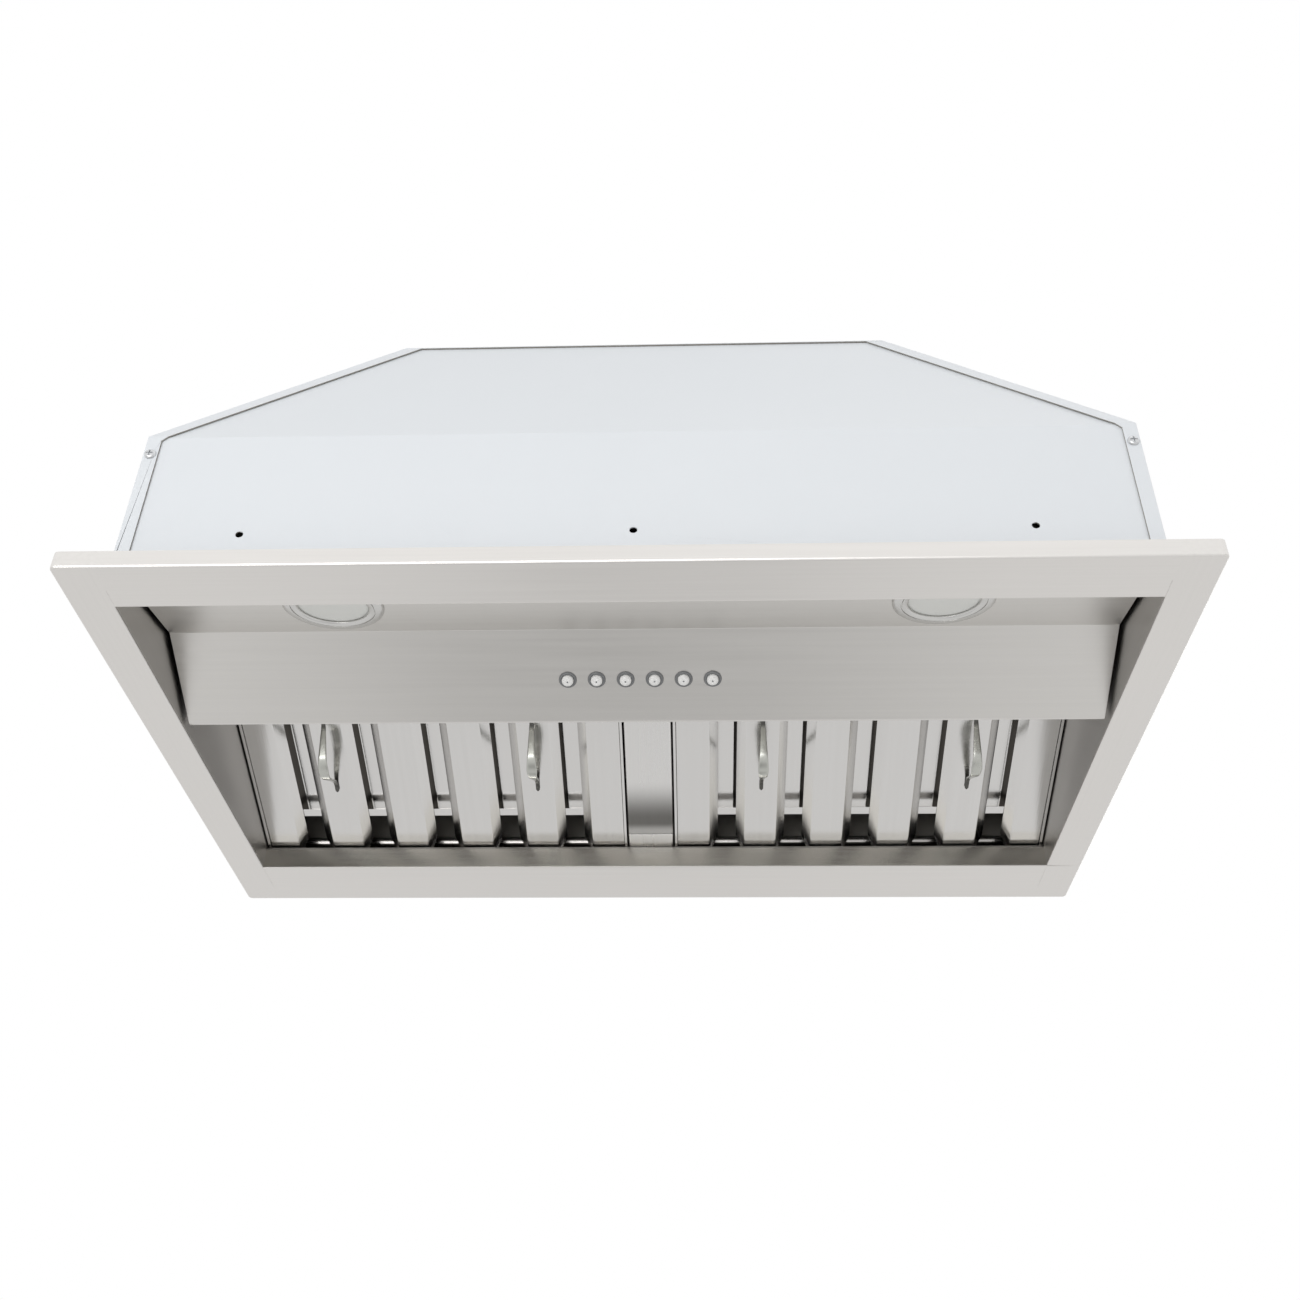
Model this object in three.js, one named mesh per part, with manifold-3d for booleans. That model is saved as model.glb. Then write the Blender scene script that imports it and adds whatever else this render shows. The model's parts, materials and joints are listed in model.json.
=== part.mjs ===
// Built-in range hood insert: a sheet-metal body on a flat face frame, two lift-out baffle filters,
// a slanted panel with lamps and push buttons, and a centrifugal blower under a round duct collar.
// Millimetres. X runs to the right, Y to the back, Z up. The origin is the middle of the underside
// of the face frame.
import * as THREE from 'three';
import { mergeVertices } from 'three/addons/utils/BufferGeometryUtils.js';
import Module from 'manifold-3d';

const wasm = await Module();
wasm.setup();

// ---------------------------------------------------------------- driving dimensions

// Sheet metal and fits
const sheet = 1.2; // body, frame and panel sheet
const fit = 0.3; // gap between two pieces that touch
const foldRadius = 1.6; // centre-line radius of a fold

// Face frame: a flat rectangle with its outer edge turned up
const frameWidth = 721;
const frameDepth = 464;
const frontRail = 40.5;
const rearRail = 60;
const sideRail = 28.5;
const lipHeight = 13;
const lipRound = 1.8; // rounding where the lip is turned up
const frameCorner = 4;
const rearReturn = 18.5; // rear wall of the recess, turned up from the rail

// Body: straight walls, then four walls leaning in to a flat top
const bodySetback = 23.5; // front wall behind the frame's front edge
const bendHeight = 135;
const bodyHeight = 289;
const topWidth = 370;
const topDepth = 294;
const seamFlange = 10; // side panel edge folded over the front and back panels
const footFlange = 12;
const topFlange = 14;
const panelHoleRadius = 2.6; // open holes in the front panel
const panelHoleHeight = 47;
const panelHoleSpread = 256;
const seamScrewHeight = 118;
const screwRadius = 2;
const screwHeadRadius = 4;
const screwLength = 8;

// Light and control panel: one folded sheet across the front of the recess
const panelSideGap = 2.7;
const lightPanelHeight = 21.5; // above the frame's underside, at the front rail
const lightPanelRun = 77;
const foldHeight = 37; // fold between the light panel and the control fascia
const fasciaRun = 69.5;
const fasciaHeight = 3; // lower edge of the fascia
const panelFrontFlange = 15;
const ledgeWidth = 11; // ledge under the front ends of the filters

// Lamps
const lampSpread = 203.5; // from the middle of the panel
const lampSetback = 37.5; // from the front rail, along the light panel
const lampRadius = 34;
const lampNeckRadius = 30;
const lampApertureRadius = 23.5;
const lensRadius = 26;
const lampNeckHeight = 5;
const lampCanHeight = 26;

// Push buttons
const buttonCount = 6;
const buttonPitch = 20.5;
const buttonDrop = 39.9; // from the fold, along the fascia
const buttonRadius = 4.2;
const buttonLength = 11;
const buttonProud = 2.6; // beyond its bezel
const bezelRadius = 5.6;
const bezelProud = 1.4;
const switchDepth = 16;
const switchHeight = 17;
const switchEnd = 12; // switch block beyond its last button

// Baffle filters
const filterSlope = 19.5; // degrees, rear end low
const filterLift = 2.8; // underside of a filter above the rear wall of the recess
const filterPlay = 1.2; // beside each filter
const filterHeight = 20;
const filterSheet = 1;
const filterOverlap = 14; // filter's rear edge behind the rear wall of the recess
const filterSlip = 16; // travel that frees the rear edge
const filterLip = 16; // lower lip of the filter frame, front and rear
const baffleCount = 6;
const baffleFlat = 25;
const baffleSlot = 11; // open width between two lower baffles
const baffleChamfer = 20; // length of the cut at the baffle's corners
const upperBaffleEnd = 36; // upper baffles stop short of the frame's ends
const crossbarWidth = 8;
const handleLength = 92;
const handleFoot = 11;
const handleDrop = 24;
const handleWidth = 12;
const handleSheet = 1.6;
const handleRound = 12;
const handleShift = 9; // handle's middle behind the filter's middle

// Divider between the filters and grease trough behind them
const dividerWidth = 38.6;
const dividerFlange = 18;
const troughStop = 40; // height of the wall that stops the filters

// Blower
const wheelRadius = 62;
const wheelWidth = 120;
const bladeCount = 30;
const bladeDepth = 11;
const bladeThickness = 0.9;
const bladeSweep = 0.16; // radians that a blade leans forward
const wheelRim = 2.5;
const hubRadius = 13;
const hubLength = 18;
const shaftRadius = 4;
const scrollGap = 8; // wheel to housing at the cut-off
const scrollGrowth = 30; // how much the scroll widens round the wheel
const cutoffSetback = 6; // cut-off lip in front of the wheel's axis
const housingSideGap = 3; // wheel to side plate
const outletNeck = 9; // straight neck above the scroll
const outletFlange = 10;
const motorRadius = 40;
const motorLength = 78;
const motorSetback = 12; // motor face from the wheel's middle
const bracketSheet = 2;
const bracketRing = 5;
const bracketArm = 9;

// Duct collar and damper
const collarRadius = 76;
const collarBase = 9; // flange round the foot of the transition
const transitionHeight = 20;
const collarHeight = 35;
const collarBead = 2;
const flapGap = 1.2; // flap to collar
const flapSheet = 1;
const hingePinRadius = 2;
const knuckleRadius = 3.4;
const knuckleLength = 14;
const pinHeight = 12; // above the top of the transition
const stopTab = 5;

// Electrical pieces
const junctionBox = { width: 62, depth: 78, height: 38, x: 128, y: 0 };
const glandRadius = 9;
const glandBore = 5;
const glandHeight = 16;
const driverBox = { width: 96, depth: 34, height: 22, x: 96 };
const capacitorRadius = 17;
const capacitorLength = 58;
const capacitorX = -118;

// ---------------------------------------------------------------- derived places

const halfOpening = frameWidth / 2 - sideRail;
const openingFront = -frameDepth / 2 + frontRail;
const openingRear = frameDepth / 2 - rearRail;
const bodyHalfDepth = frameDepth / 2 - bodySetback;
const bodyHalfWidth = halfOpening + 2 * sheet + fit;
const wallInside = bodyHalfDepth - 2 * sheet - fit; // inner face of the front and back panels
const footLevel = sheet + fit; // what stands on the rails starts here
const underTop = bodyHeight - sheet - fit;
const slope = THREE.MathUtils.degToRad(filterSlope);

const panelHalf = halfOpening - panelSideGap;
const foldY = openingFront + lightPanelRun;
const fasciaBottomY = foldY + fasciaRun;
const lightSlope = Math.atan2(foldHeight - lightPanelHeight, lightPanelRun);
const fasciaSlope = Math.atan2(foldHeight - fasciaHeight, fasciaRun);
const lightPanelZ = (y) => lightPanelHeight + (y - openingFront) * Math.tan(lightSlope);

const filterRearY = openingRear + filterOverlap;
const filterUnderside = (y) => rearReturn + filterLift + (openingRear - y) * Math.tan(slope);
const filterFrontY = fasciaBottomY + sheet + 2 * fit;
const filterLength = (filterRearY - filterFrontY) / Math.cos(slope);
const filterWidth = halfOpening - dividerWidth / 2 - 2 * filterPlay;
const filterX = (halfOpening + dividerWidth / 2) / 2;
const baffleLevel = filterSheet + fit; // lower baffles lie on the frame's lip
const bafflePitch = (filterWidth - 2 * (filterSheet + fit) - baffleFlat - 2) / (baffleCount - 1);
const baffleFlare = (bafflePitch - baffleFlat - baffleSlot) / 2;

const scrollStart = wheelRadius + scrollGap;
const scrollEnd = scrollStart + scrollGrowth;
const blowerY = (scrollEnd + cutoffSetback) / 2;
const blowerZ = underTop - outletNeck - sheet - scrollStart;
const housingHalf = wheelWidth / 2 + housingSideGap;
const inletRadius = wheelRadius - bladeDepth;
const collarFoot = bodyHeight + fit;
const pinZ = collarFoot + transitionHeight + pinHeight;

// ---------------------------------------------------------------- materials

const finish = (color, roughness, metalness) =>
  new THREE.MeshStandardMaterial({ color, roughness, metalness });
const coatedSteel = finish(0xe4e8eb, 0.45, 0.2);
const brushedSteel = finish(0xcdcbc6, 0.35, 0.9);
const linerSteel = finish(0x9a9791, 0.4, 0.9);
const baffleSteel = finish(0xc3c2bf, 0.3, 0.95);
const galvanised = finish(0xa9adb0, 0.5, 0.7);
const blackPlastic = finish(0x1c1c1e, 0.5, 0);
const greyPlastic = finish(0xd9dadb, 0.35, 0);
const lensGlass = finish(0xf2f4f2, 0.2, 0);
const darkMetal = finish(0x55585c, 0.5, 0.6);
const zincScrew = finish(0xb9bcbf, 0.35, 0.9);

// ---------------------------------------------------------------- solid modelling helpers

// Turns a closed geometry into a solid that can be joined and cut.
function solid(geometry) {
  const bare = geometry.clone();
  bare.deleteAttribute('normal');
  bare.deleteAttribute('uv');
  const merged = mergeVertices(bare, 1e-4);
  return new wasm.Manifold(new wasm.Mesh({
    numProp: 3,
    vertProperties: new Float32Array(merged.attributes.position.array),
    triVerts: new Uint32Array(merged.index.array),
  }));
}

// Turns a solid back into a geometry.
function geometryOf(body) {
  const { vertProperties, triVerts } = body.getMesh();
  const geometry = new THREE.BufferGeometry();
  geometry.setAttribute('position', new THREE.BufferAttribute(vertProperties, 3));
  geometry.setIndex(new THREE.BufferAttribute(triVerts, 1));
  geometry.computeVertexNormals();
  return geometry;
}

function extruded(outline, length) {
  const shape = new THREE.Shape(outline.map(([a, b]) => new THREE.Vector2(a, b)));
  return new THREE.ExtrudeGeometry(shape, { depth: length, bevelEnabled: false });
}

const alongX = new THREE.Matrix4().makeBasis(
  new THREE.Vector3(0, 1, 0), new THREE.Vector3(0, 0, 1), new THREE.Vector3(1, 0, 0));
const alongY = new THREE.Matrix4().makeBasis(
  new THREE.Vector3(1, 0, 0), new THREE.Vector3(0, 0, 1), new THREE.Vector3(0, -1, 0));

// Prisms: an outline in the plane across the named axis, between two places on that axis.
const prismX = (outline, x0, x1) => solid(extruded(outline, x1 - x0).applyMatrix4(alongX).translate(x0, 0, 0));
const prismY = (outline, y0, y1) => solid(extruded(outline, y1 - y0).applyMatrix4(alongY).translate(0, y1, 0));
const prismZ = (outline, z0, z1) => solid(extruded(outline, z1 - z0).translate(0, 0, z0));

const rectangle = (a0, b0, a1, b1) => [[a0, b0], [a1, b0], [a1, b1], [a0, b1]];
const block = (x0, x1, y0, y1, z0, z1) => prismZ(rectangle(x0, y0, x1, y1), z0, z1);

function circle(radius, sides, a = 0, b = 0) {
  return Array.from({ length: sides }, (_, i) => {
    const angle = (i / sides) * 2 * Math.PI;
    return [a + radius * Math.cos(angle), b + radius * Math.sin(angle)];
  });
}

// Rectangle with rounded corners, each corner in the given number of steps.
function roundedRectangle(width, depth, radius, steps) {
  const points = [];
  const corners = [[1, 1, 0], [-1, 1, 90], [-1, -1, 180], [1, -1, 270]];
  for (const [sideX, sideY, start] of corners) {
    for (let i = 0; i <= steps; i++) {
      const angle = THREE.MathUtils.degToRad(start + (90 * i) / steps);
      points.push([
        sideX * (width / 2 - radius) + radius * Math.cos(angle),
        sideY * (depth / 2 - radius) + radius * Math.sin(angle),
      ]);
    }
  }
  return points;
}

// Skin over rings of equally many points, [outline, height] from the lowest up, closed by flat ends.
function loft(rings) {
  const count = rings[0][0].length;
  const positions = rings.flatMap(([outline, z]) => outline.flatMap(([x, y]) => [x, y, z]));
  const faces = [];
  for (let ring = 0; ring < rings.length - 1; ring++) {
    for (let i = 0; i < count; i++) {
      const a = ring * count + i;
      const b = ring * count + ((i + 1) % count);
      faces.push(a, b, b + count, a, b + count, a + count);
    }
  }
  const cap = (outline) => THREE.ShapeUtils.triangulateShape(outline.map(([x, y]) => new THREE.Vector2(x, y)), []);
  const top = (rings.length - 1) * count;
  for (const [a, b, c] of cap(rings[0][0])) faces.push(c, b, a);
  for (const [a, b, c] of cap(rings.at(-1)[0])) faces.push(top + a, top + b, top + c);
  const geometry = new THREE.BufferGeometry();
  geometry.setAttribute('position', new THREE.Float32BufferAttribute(positions, 3));
  geometry.setIndex(faces);
  return solid(geometry);
}

// Body of revolution about Z from a closed [radius, height] profile.
function turned(profile, sides) {
  const points = profile.map(([radius, height]) => new THREE.Vector2(radius, height));
  const lathe = new THREE.LatheGeometry([...points, points[0].clone()], sides);
  return solid(lathe.rotateX(Math.PI / 2));
}

// The path moved sideways; a positive distance goes to the left of its direction.
function offsetPath(path, distance) {
  const directions = path.slice(1).map((point, i) => {
    const length = Math.hypot(point[0] - path[i][0], point[1] - path[i][1]);
    return [(point[0] - path[i][0]) / length, (point[1] - path[i][1]) / length];
  });
  return path.map(([a, b], i) => {
    const before = directions[Math.max(i - 1, 0)];
    const after = directions[Math.min(i, directions.length - 1)];
    const scale = distance / (1 + before[0] * after[0] + before[1] * after[1]);
    return [a - (before[1] + after[1]) * scale, b + (before[0] + after[0]) * scale];
  });
}

// The path with an arc in place of each inner corner.
function roundedPath(path, radius, steps) {
  const points = [path[0]];
  for (let i = 1; i < path.length - 1; i++) {
    const corner = new THREE.Vector2(...path[i]);
    const back = new THREE.Vector2(...path[i - 1]).sub(corner);
    const ahead = new THREE.Vector2(...path[i + 1]).sub(corner);
    const half = Math.abs(back.angleTo(ahead)) / 2;
    const reach = Math.min(radius / Math.tan(half), back.length() / 2, ahead.length() / 2);
    const arcRadius = reach * Math.tan(half);
    const middle = back.clone().normalize().add(ahead.clone().normalize()).setLength(arcRadius / Math.sin(half));
    const centre = corner.clone().add(middle);
    const from = corner.clone().add(back.setLength(reach)).sub(centre);
    const to = corner.clone().add(ahead.setLength(reach)).sub(centre);
    const turn = Math.atan2(from.cross(to), from.dot(to));
    for (let k = 0; k <= steps; k++) {
      const point = from.clone().rotateAround(new THREE.Vector2(), (turn * k) / steps).add(centre);
      points.push([point.x, point.y]);
    }
  }
  points.push(path.at(-1));
  return points;
}

// Outline of a folded sheet: the path is one face, and the metal lies to its left.
function foldedSheet(path, thickness, radius = foldRadius, steps = 2) {
  const middle = roundedPath(offsetPath(path, thickness / 2), radius, steps);
  return [...offsetPath(middle, -thickness / 2), ...offsetPath(middle, thickness / 2).reverse()];
}

// ---------------------------------------------------------------- assembly helpers

const insert = new THREE.Group();

function addPiece(name, shape, material, parent = insert) {
  const geometry = shape.isBufferGeometry ? shape : geometryOf(shape);
  const mesh = new THREE.Mesh(geometry, material);
  mesh.name = name;
  parent.add(mesh);
  return mesh;
}

// A group whose Z axis is turned about X by the given angle, at a place on the insert.
function tiltedGroup(x, y, z, angle) {
  const group = new THREE.Group();
  group.position.set(x, y, z);
  group.rotation.x = angle;
  group.updateMatrix();
  insert.add(group);
  return group;
}

const movedTo = (group, shape) => solid(geometryOf(shape).applyMatrix4(group.matrix));
const sides = [['left', -1], ['right', 1]];

// ---------------------------------------------------------------- face frame

function makeFaceFrame() {
  const ring = (inset) => roundedRectangle(
    frameWidth - 2 * inset, frameDepth - 2 * inset, Math.max(frameCorner - inset, 0.5), 3);
  const tray = loft([
    [ring(lipRound), 0],
    [ring(lipRound * 0.29), lipRound * 0.29],
    [ring(0), lipRound],
    [ring(0), lipHeight],
  ]);
  const inside = prismZ(ring(sheet), sheet, lipHeight + 1);
  const opening = block(-halfOpening, halfOpening, openingFront, openingRear, -1, lipHeight);
  const returnHalf = halfOpening - fit;
  const frontTop = lightPanelZ(openingFront - sheet) - fit;
  const frontWall = block(-returnHalf, returnHalf, openingFront - sheet, openingFront, 0, frontTop);
  const rearWall = block(-returnHalf, returnHalf, openingRear, openingRear + sheet, 0, rearReturn);
  return tray.subtract(inside).subtract(opening).add(frontWall).add(rearWall);
}

addPiece('face_frame', makeFaceFrame(), brushedSteel);

// ---------------------------------------------------------------- body panels

// Outline of the body across one axis, its walls and top moved inwards: straight walls, then leaning.
function bodyOutline(halfWidth, halfTop, inset, topInset = inset) {
  const rise = bodyHeight - bendHeight;
  const lean = halfWidth - halfTop;
  const length = Math.hypot(rise, lean);
  const wallAt = (z) => halfWidth - ((z - bendHeight) * lean) / rise - (inset * length) / rise;
  const wall = halfWidth - inset;
  const bend = bendHeight + (halfWidth - (inset * length) / rise - wall) * (rise / lean);
  const top = bodyHeight - topInset;
  return [[-wall, footLevel], [wall, footLevel], [wall, bend], [wallAt(top), top], [-wallAt(top), top], [-wall, bend]];
}

const far = frameWidth; // longer than any cut needs
const acrossX = (inset) => prismX(bodyOutline(bodyHalfDepth, topDepth / 2, inset), -far, far);
const acrossY = (inset, topInset) =>
  prismY(bodyOutline(bodyHalfWidth, topWidth / 2, inset, topInset), -far, far);

const seamX = bodyHalfWidth - seamFlange / 2;
const seamHole = (side, end) =>
  prismY(circle(screwRadius + fit, 12, side * seamX, seamScrewHeight), end * bodyHalfDepth - 5, end * bodyHalfDepth + 5);

// A side panel wraps round the corners onto the front and back panels.
function makeSidePanel(side) {
  const skin = acrossX(0).intersect(acrossY(0)).subtract(acrossX(sheet).intersect(acrossY(sheet)));
  const half = block(side > 0 ? 0 : -far, side > 0 ? far : 0, -far, far, 0, underTop);
  const wrapped = skin.subtract(acrossY(seamFlange, -1)).intersect(half);
  const inner = side * (bodyHalfWidth - sheet);
  const outer = side * (bodyHalfWidth + footFlange);
  const foot = block(Math.min(inner, outer), Math.max(inner, outer), -bodyHalfDepth, bodyHalfDepth,
    footLevel, footLevel + sheet);
  return wrapped.add(foot).subtract(seamHole(side, -1)).subtract(seamHole(side, 1));
}

// Front or back panel: it lies inside the folded edges of the side panels.
function makeEndPanel(end) {
  const outerInset = sheet + fit;
  const skin = acrossX(outerInset).subtract(acrossX(outerInset + sheet)).intersect(acrossY(outerInset));
  const flangeEdge = topDepth / 2 - topFlange;
  const keep = end > 0 ? block(-far, far, flangeEdge, far, 0, underTop) : block(-far, far, -far, -flangeEdge, 0, underTop);
  const face = bodyHalfDepth - outerInset;
  const footHalf = bodyHalfWidth - seamFlange - fit;
  const inner = end * (face - sheet);
  const outer = end * (face + footFlange);
  const foot = block(-footHalf, footHalf, Math.min(inner, outer), Math.max(inner, outer), footLevel, footLevel + sheet);
  return skin.intersect(keep).add(foot).subtract(seamHole(-1, end)).subtract(seamHole(1, end));
}

function makeFrontPanel() {
  let panel = makeEndPanel(-1);
  for (const x of [-panelHoleSpread, 0, panelHoleSpread]) {
    panel = panel.subtract(prismY(circle(panelHoleRadius, 16, x, panelHoleHeight), -bodyHalfDepth - 5, -bodyHalfDepth + 8));
  }
  return panel;
}

const outletFront = blowerY - scrollEnd;
const outletRear = blowerY - cutoffSetback;

function makeTopPlate() {
  const lid = block(-far, far, -far, far, bodyHeight - sheet, bodyHeight + 1);
  const outlet = block(-housingHalf, housingHalf, outletFront, outletRear, 0, bodyHeight + 2);
  const cableHole = prismZ(circle(glandRadius * 0.7 + fit, 20, junctionBox.x, junctionBox.y), 0, bodyHeight + 2);
  return acrossX(0).intersect(acrossY(0)).intersect(lid).subtract(outlet).subtract(cableHole);
}

addPiece('front_panel', makeFrontPanel(), coatedSteel);
addPiece('back_panel', makeEndPanel(1), coatedSteel);
addPiece('top_plate', makeTopPlate(), coatedSteel);
for (const [word, side] of sides) addPiece(`side_panel_${word}`, makeSidePanel(side), coatedSteel);

// Domed screws that hold the folded edges.
const screwShape = turned([
  [0, -screwLength], [screwRadius, -screwLength], [screwRadius, 0], [screwHeadRadius, 0],
  [screwHeadRadius * 0.9, 1], [screwHeadRadius * 0.5, 1.7], [0, 1.9],
], 12);
for (const [word, side] of sides) {
  for (const [place, end] of [['front', -1], ['back', 1]]) {
    const screw = addPiece(`seam_screw_${place}_${word}`, screwShape, zincScrew);
    screw.position.set(side * seamX, end * (bodyHalfDepth + fit), seamScrewHeight);
    screw.rotation.x = (-end * Math.PI) / 2;
  }
}

// ---------------------------------------------------------------- recess lining

for (const [word, side] of sides) {
  const inner = side * halfOpening;
  const outer = side * (halfOpening + sheet);
  const top = bendHeight - 5;
  const liner = block(Math.min(inner, outer), Math.max(inner, outer), openingFront - sheet, openingRear + sheet,
    footLevel, top);
  addPiece(`side_liner_${word}`, liner, linerSteel);
}

// Height of the filters' supports below their underside, at a place Y.
const supportZ = (y) => filterUnderside(y) - fit / Math.cos(slope);

// Folded sheet: flange on the front panel, light panel, fascia, then up to the filters' front ledge.
const flangeY = -wallInside + fit;
const lightFrame = tiltedGroup(0, openingFront, lightPanelHeight, lightSlope);
const fasciaFrame = tiltedGroup(0, foldY, foldHeight, -fasciaSlope);

const lampPlace = (side) => [side * lampSpread, lampSetback];
const buttonX = (index) => (index - (buttonCount - 1) / 2) * buttonPitch;

function makeLightControlPanel() {
  const ledgeDrop = (fit + sheet) / Math.cos(slope);
  const ledgeStart = filterUnderside(fasciaBottomY) - ledgeDrop;
  const path = [
    [flangeY, lightPanelZ(flangeY) + panelFrontFlange],
    [flangeY, lightPanelZ(flangeY)],
    [foldY, foldHeight],
    [fasciaBottomY, fasciaHeight],
    [fasciaBottomY, ledgeStart],
    [fasciaBottomY + ledgeWidth * Math.cos(slope), ledgeStart - ledgeWidth * Math.sin(slope)],
  ];
  let panel = prismX(foldedSheet(path, sheet), -panelHalf, panelHalf);
  for (const [, side] of sides) {
    const hole = prismZ(circle(lampNeckRadius + fit, 32, ...lampPlace(side)), -5, 8);
    panel = panel.subtract(movedTo(lightFrame, hole));
  }
  for (let i = 0; i < buttonCount; i++) {
    const hole = prismZ(circle(bezelRadius + fit, 16, buttonX(i), buttonDrop), -5, 5);
    panel = panel.subtract(movedTo(fasciaFrame, hole));
  }
  return panel;
}

addPiece('light_control_panel', makeLightControlPanel(), brushedSteel);

// Grease trough behind the rear wall: its front wall carries the filters, its rear wall stops them.
function makeTrough() {
  const front = openingRear + sheet + fit;
  const rear = filterRearY + filterHeight * Math.sin(slope) + fit + sheet;
  const path = [
    [front, supportZ(front + sheet)],
    [front, footLevel],
    [rear, footLevel],
    [rear, troughStop],
    [wallInside - fit, troughStop],
  ];
  return prismX(foldedSheet(path, sheet), -halfOpening + fit, halfOpening - fit);
}

addPiece('grease_trough', makeTrough(), linerSteel);

// ---------------------------------------------------------------- filters

// Everything on the filters' slope is drawn flat: X across, Y along the slope, Z square to it.
const filterMiddleY = (filterFrontY + filterRearY) / 2;
const filterMiddleZ = filterUnderside(filterMiddleY);
const halfLength = filterLength / 2;
const halfFilter = filterWidth / 2;

// Channel between the filters.
function makeDivider() {
  const half = dividerWidth / 2;
  const path = [[-half, dividerFlange], [-half, 0], [half, 0], [half, dividerFlange]];
  return prismY(foldedSheet(path, sheet), -halfLength, halfLength);
}

addPiece('filter_divider', makeDivider(), brushedSteel,
  tiltedGroup(0, filterMiddleY, filterMiddleZ, -slope));

// Cross-section of a lower baffle: a flat with two flared edges. On the end baffles the outer edge
// runs on to the frame and is turned straight up beside it.
function baffleSection(outerSide) {
  const flareTop = baffleLevel + baffleFlare;
  const edge = (side) => {
    if (side !== outerSide) {
      return [[side * (baffleFlat / 2 + baffleFlare), flareTop], [(side * baffleFlat) / 2, baffleLevel]];
    }
    const wall = side * (halfFilter - filterSheet - fit - ((baffleCount - 1) / 2) * bafflePitch);
    return [[wall, flareTop], [wall, baffleLevel]];
  };
  return foldedSheet([...edge(-1), ...edge(1).reverse()], filterSheet, foldRadius * 0.7);
}

// Corner cuts that narrow the flared edges towards both ends of a lower baffle.
function chamferCuts(end) {
  const wide = baffleFlat / 2 + baffleFlare + 1;
  const flat = baffleFlat / 2;
  return [-1, 1].flatMap((side) => [-1, 1].map((tip) => {
    const outline = [[side * flat, tip * (end + 1)], [side * wide, tip * (end + 1)], [side * wide, tip * (end - baffleChamfer)]];
    return prismZ(side * tip > 0 ? outline : outline.reverse(), baffleLevel + filterSheet, filterHeight);
  }));
}

function makeLowerBaffle(outerSide) {
  const end = halfLength - filterSheet - fit;
  let baffle = prismY(baffleSection(outerSide), -end, end);
  for (const cut of chamferCuts(end)) baffle = baffle.subtract(cut);
  return baffle;
}

// Frame of four rails with the upper, upturned baffles welded to two crossbars.
function makeFilterFrame() {
  const box = block(-halfFilter, halfFilter, -halfLength, halfLength, 0, filterHeight);
  const wall = filterSheet;
  const hollow = block(-halfFilter + wall, halfFilter - wall, -halfLength + wall, halfLength - wall, wall, filterHeight - wall);
  const lipX = halfFilter - wall - 1;
  const below = block(-lipX, lipX, -halfLength + filterLip, halfLength - filterLip, -1, wall + 1);
  const topLip = wall * 6;
  const above = block(-halfFilter + topLip, halfFilter - topLip, -halfLength + topLip, halfLength - topLip,
    filterHeight - wall - 1, filterHeight + 1);
  let frame = box.subtract(hollow).subtract(below).subtract(above);
  const barEnd = halfLength - upperBaffleEnd;
  for (const end of [-1, 1]) {
    const [y0, y1] = end > 0 ? [barEnd, barEnd + crossbarWidth] : [-barEnd - crossbarWidth, -barEnd];
    frame = frame.add(block(-halfFilter + wall / 2, halfFilter - wall / 2, y0, y1, filterHeight - wall * 2, filterHeight - wall));
  }
  const top = filterHeight - wall;
  const flat = baffleFlat / 2;
  for (let i = 0; i < baffleCount - 1; i++) {
    const x = (i - (baffleCount - 2) / 2) * bafflePitch;
    const path = [
      [x + flat + baffleFlare, top - baffleFlare], [x + flat, top], [x - flat, top], [x - flat - baffleFlare, top - baffleFlare],
    ];
    frame = frame.add(prismY(foldedSheet(path, wall, foldRadius * 0.7), -barEnd - 1, barEnd + 1));
  }
  return frame;
}

// Bow handle: a strap with a flat foot at each end.
function makeHandle() {
  const half = handleLength / 2;
  const foot = filterSheet; // the feet lie under the baffle's flat
  const path = [
    [half, foot], [half - handleFoot, foot], [half - 2 * handleFoot, foot - handleDrop],
    [2 * handleFoot - half, foot - handleDrop], [handleFoot - half, foot], [-half, foot],
  ];
  return prismX(foldedSheet(path, handleSheet, handleRound, 5), -handleWidth / 2, handleWidth / 2);
}

const lowerBaffles = { '-1': makeLowerBaffle(-1), 0: makeLowerBaffle(0), 1: makeLowerBaffle(1) };
const filterFrame = makeFilterFrame();
const handleShape = makeHandle();

for (const [word, side] of sides) {
  const filter = tiltedGroup(side * filterX, filterMiddleY, filterMiddleZ, -slope);
  addPiece(`filter_frame_${word}`, filterFrame, baffleSteel, filter);
  for (let i = 0; i < baffleCount; i++) {
    const outerSide = i === 0 ? -1 : i === baffleCount - 1 ? 1 : 0;
    const baffle = addPiece(`baffle_${word}_${i + 1}`, lowerBaffles[outerSide], baffleSteel, filter);
    baffle.position.x = (i - (baffleCount - 1) / 2) * bafflePitch;
  }
  for (const [place, index] of [['outer', side > 0 ? baffleCount - 2 : 1], ['inner', side > 0 ? 1 : baffleCount - 2]]) {
    const handle = addPiece(`handle_${word}_${place}`, handleShape, brushedSteel, filter);
    handle.position.set((index - (baffleCount - 1) / 2) * bafflePitch, handleShift, 0);
  }
}

// ---------------------------------------------------------------- lamps

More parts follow.
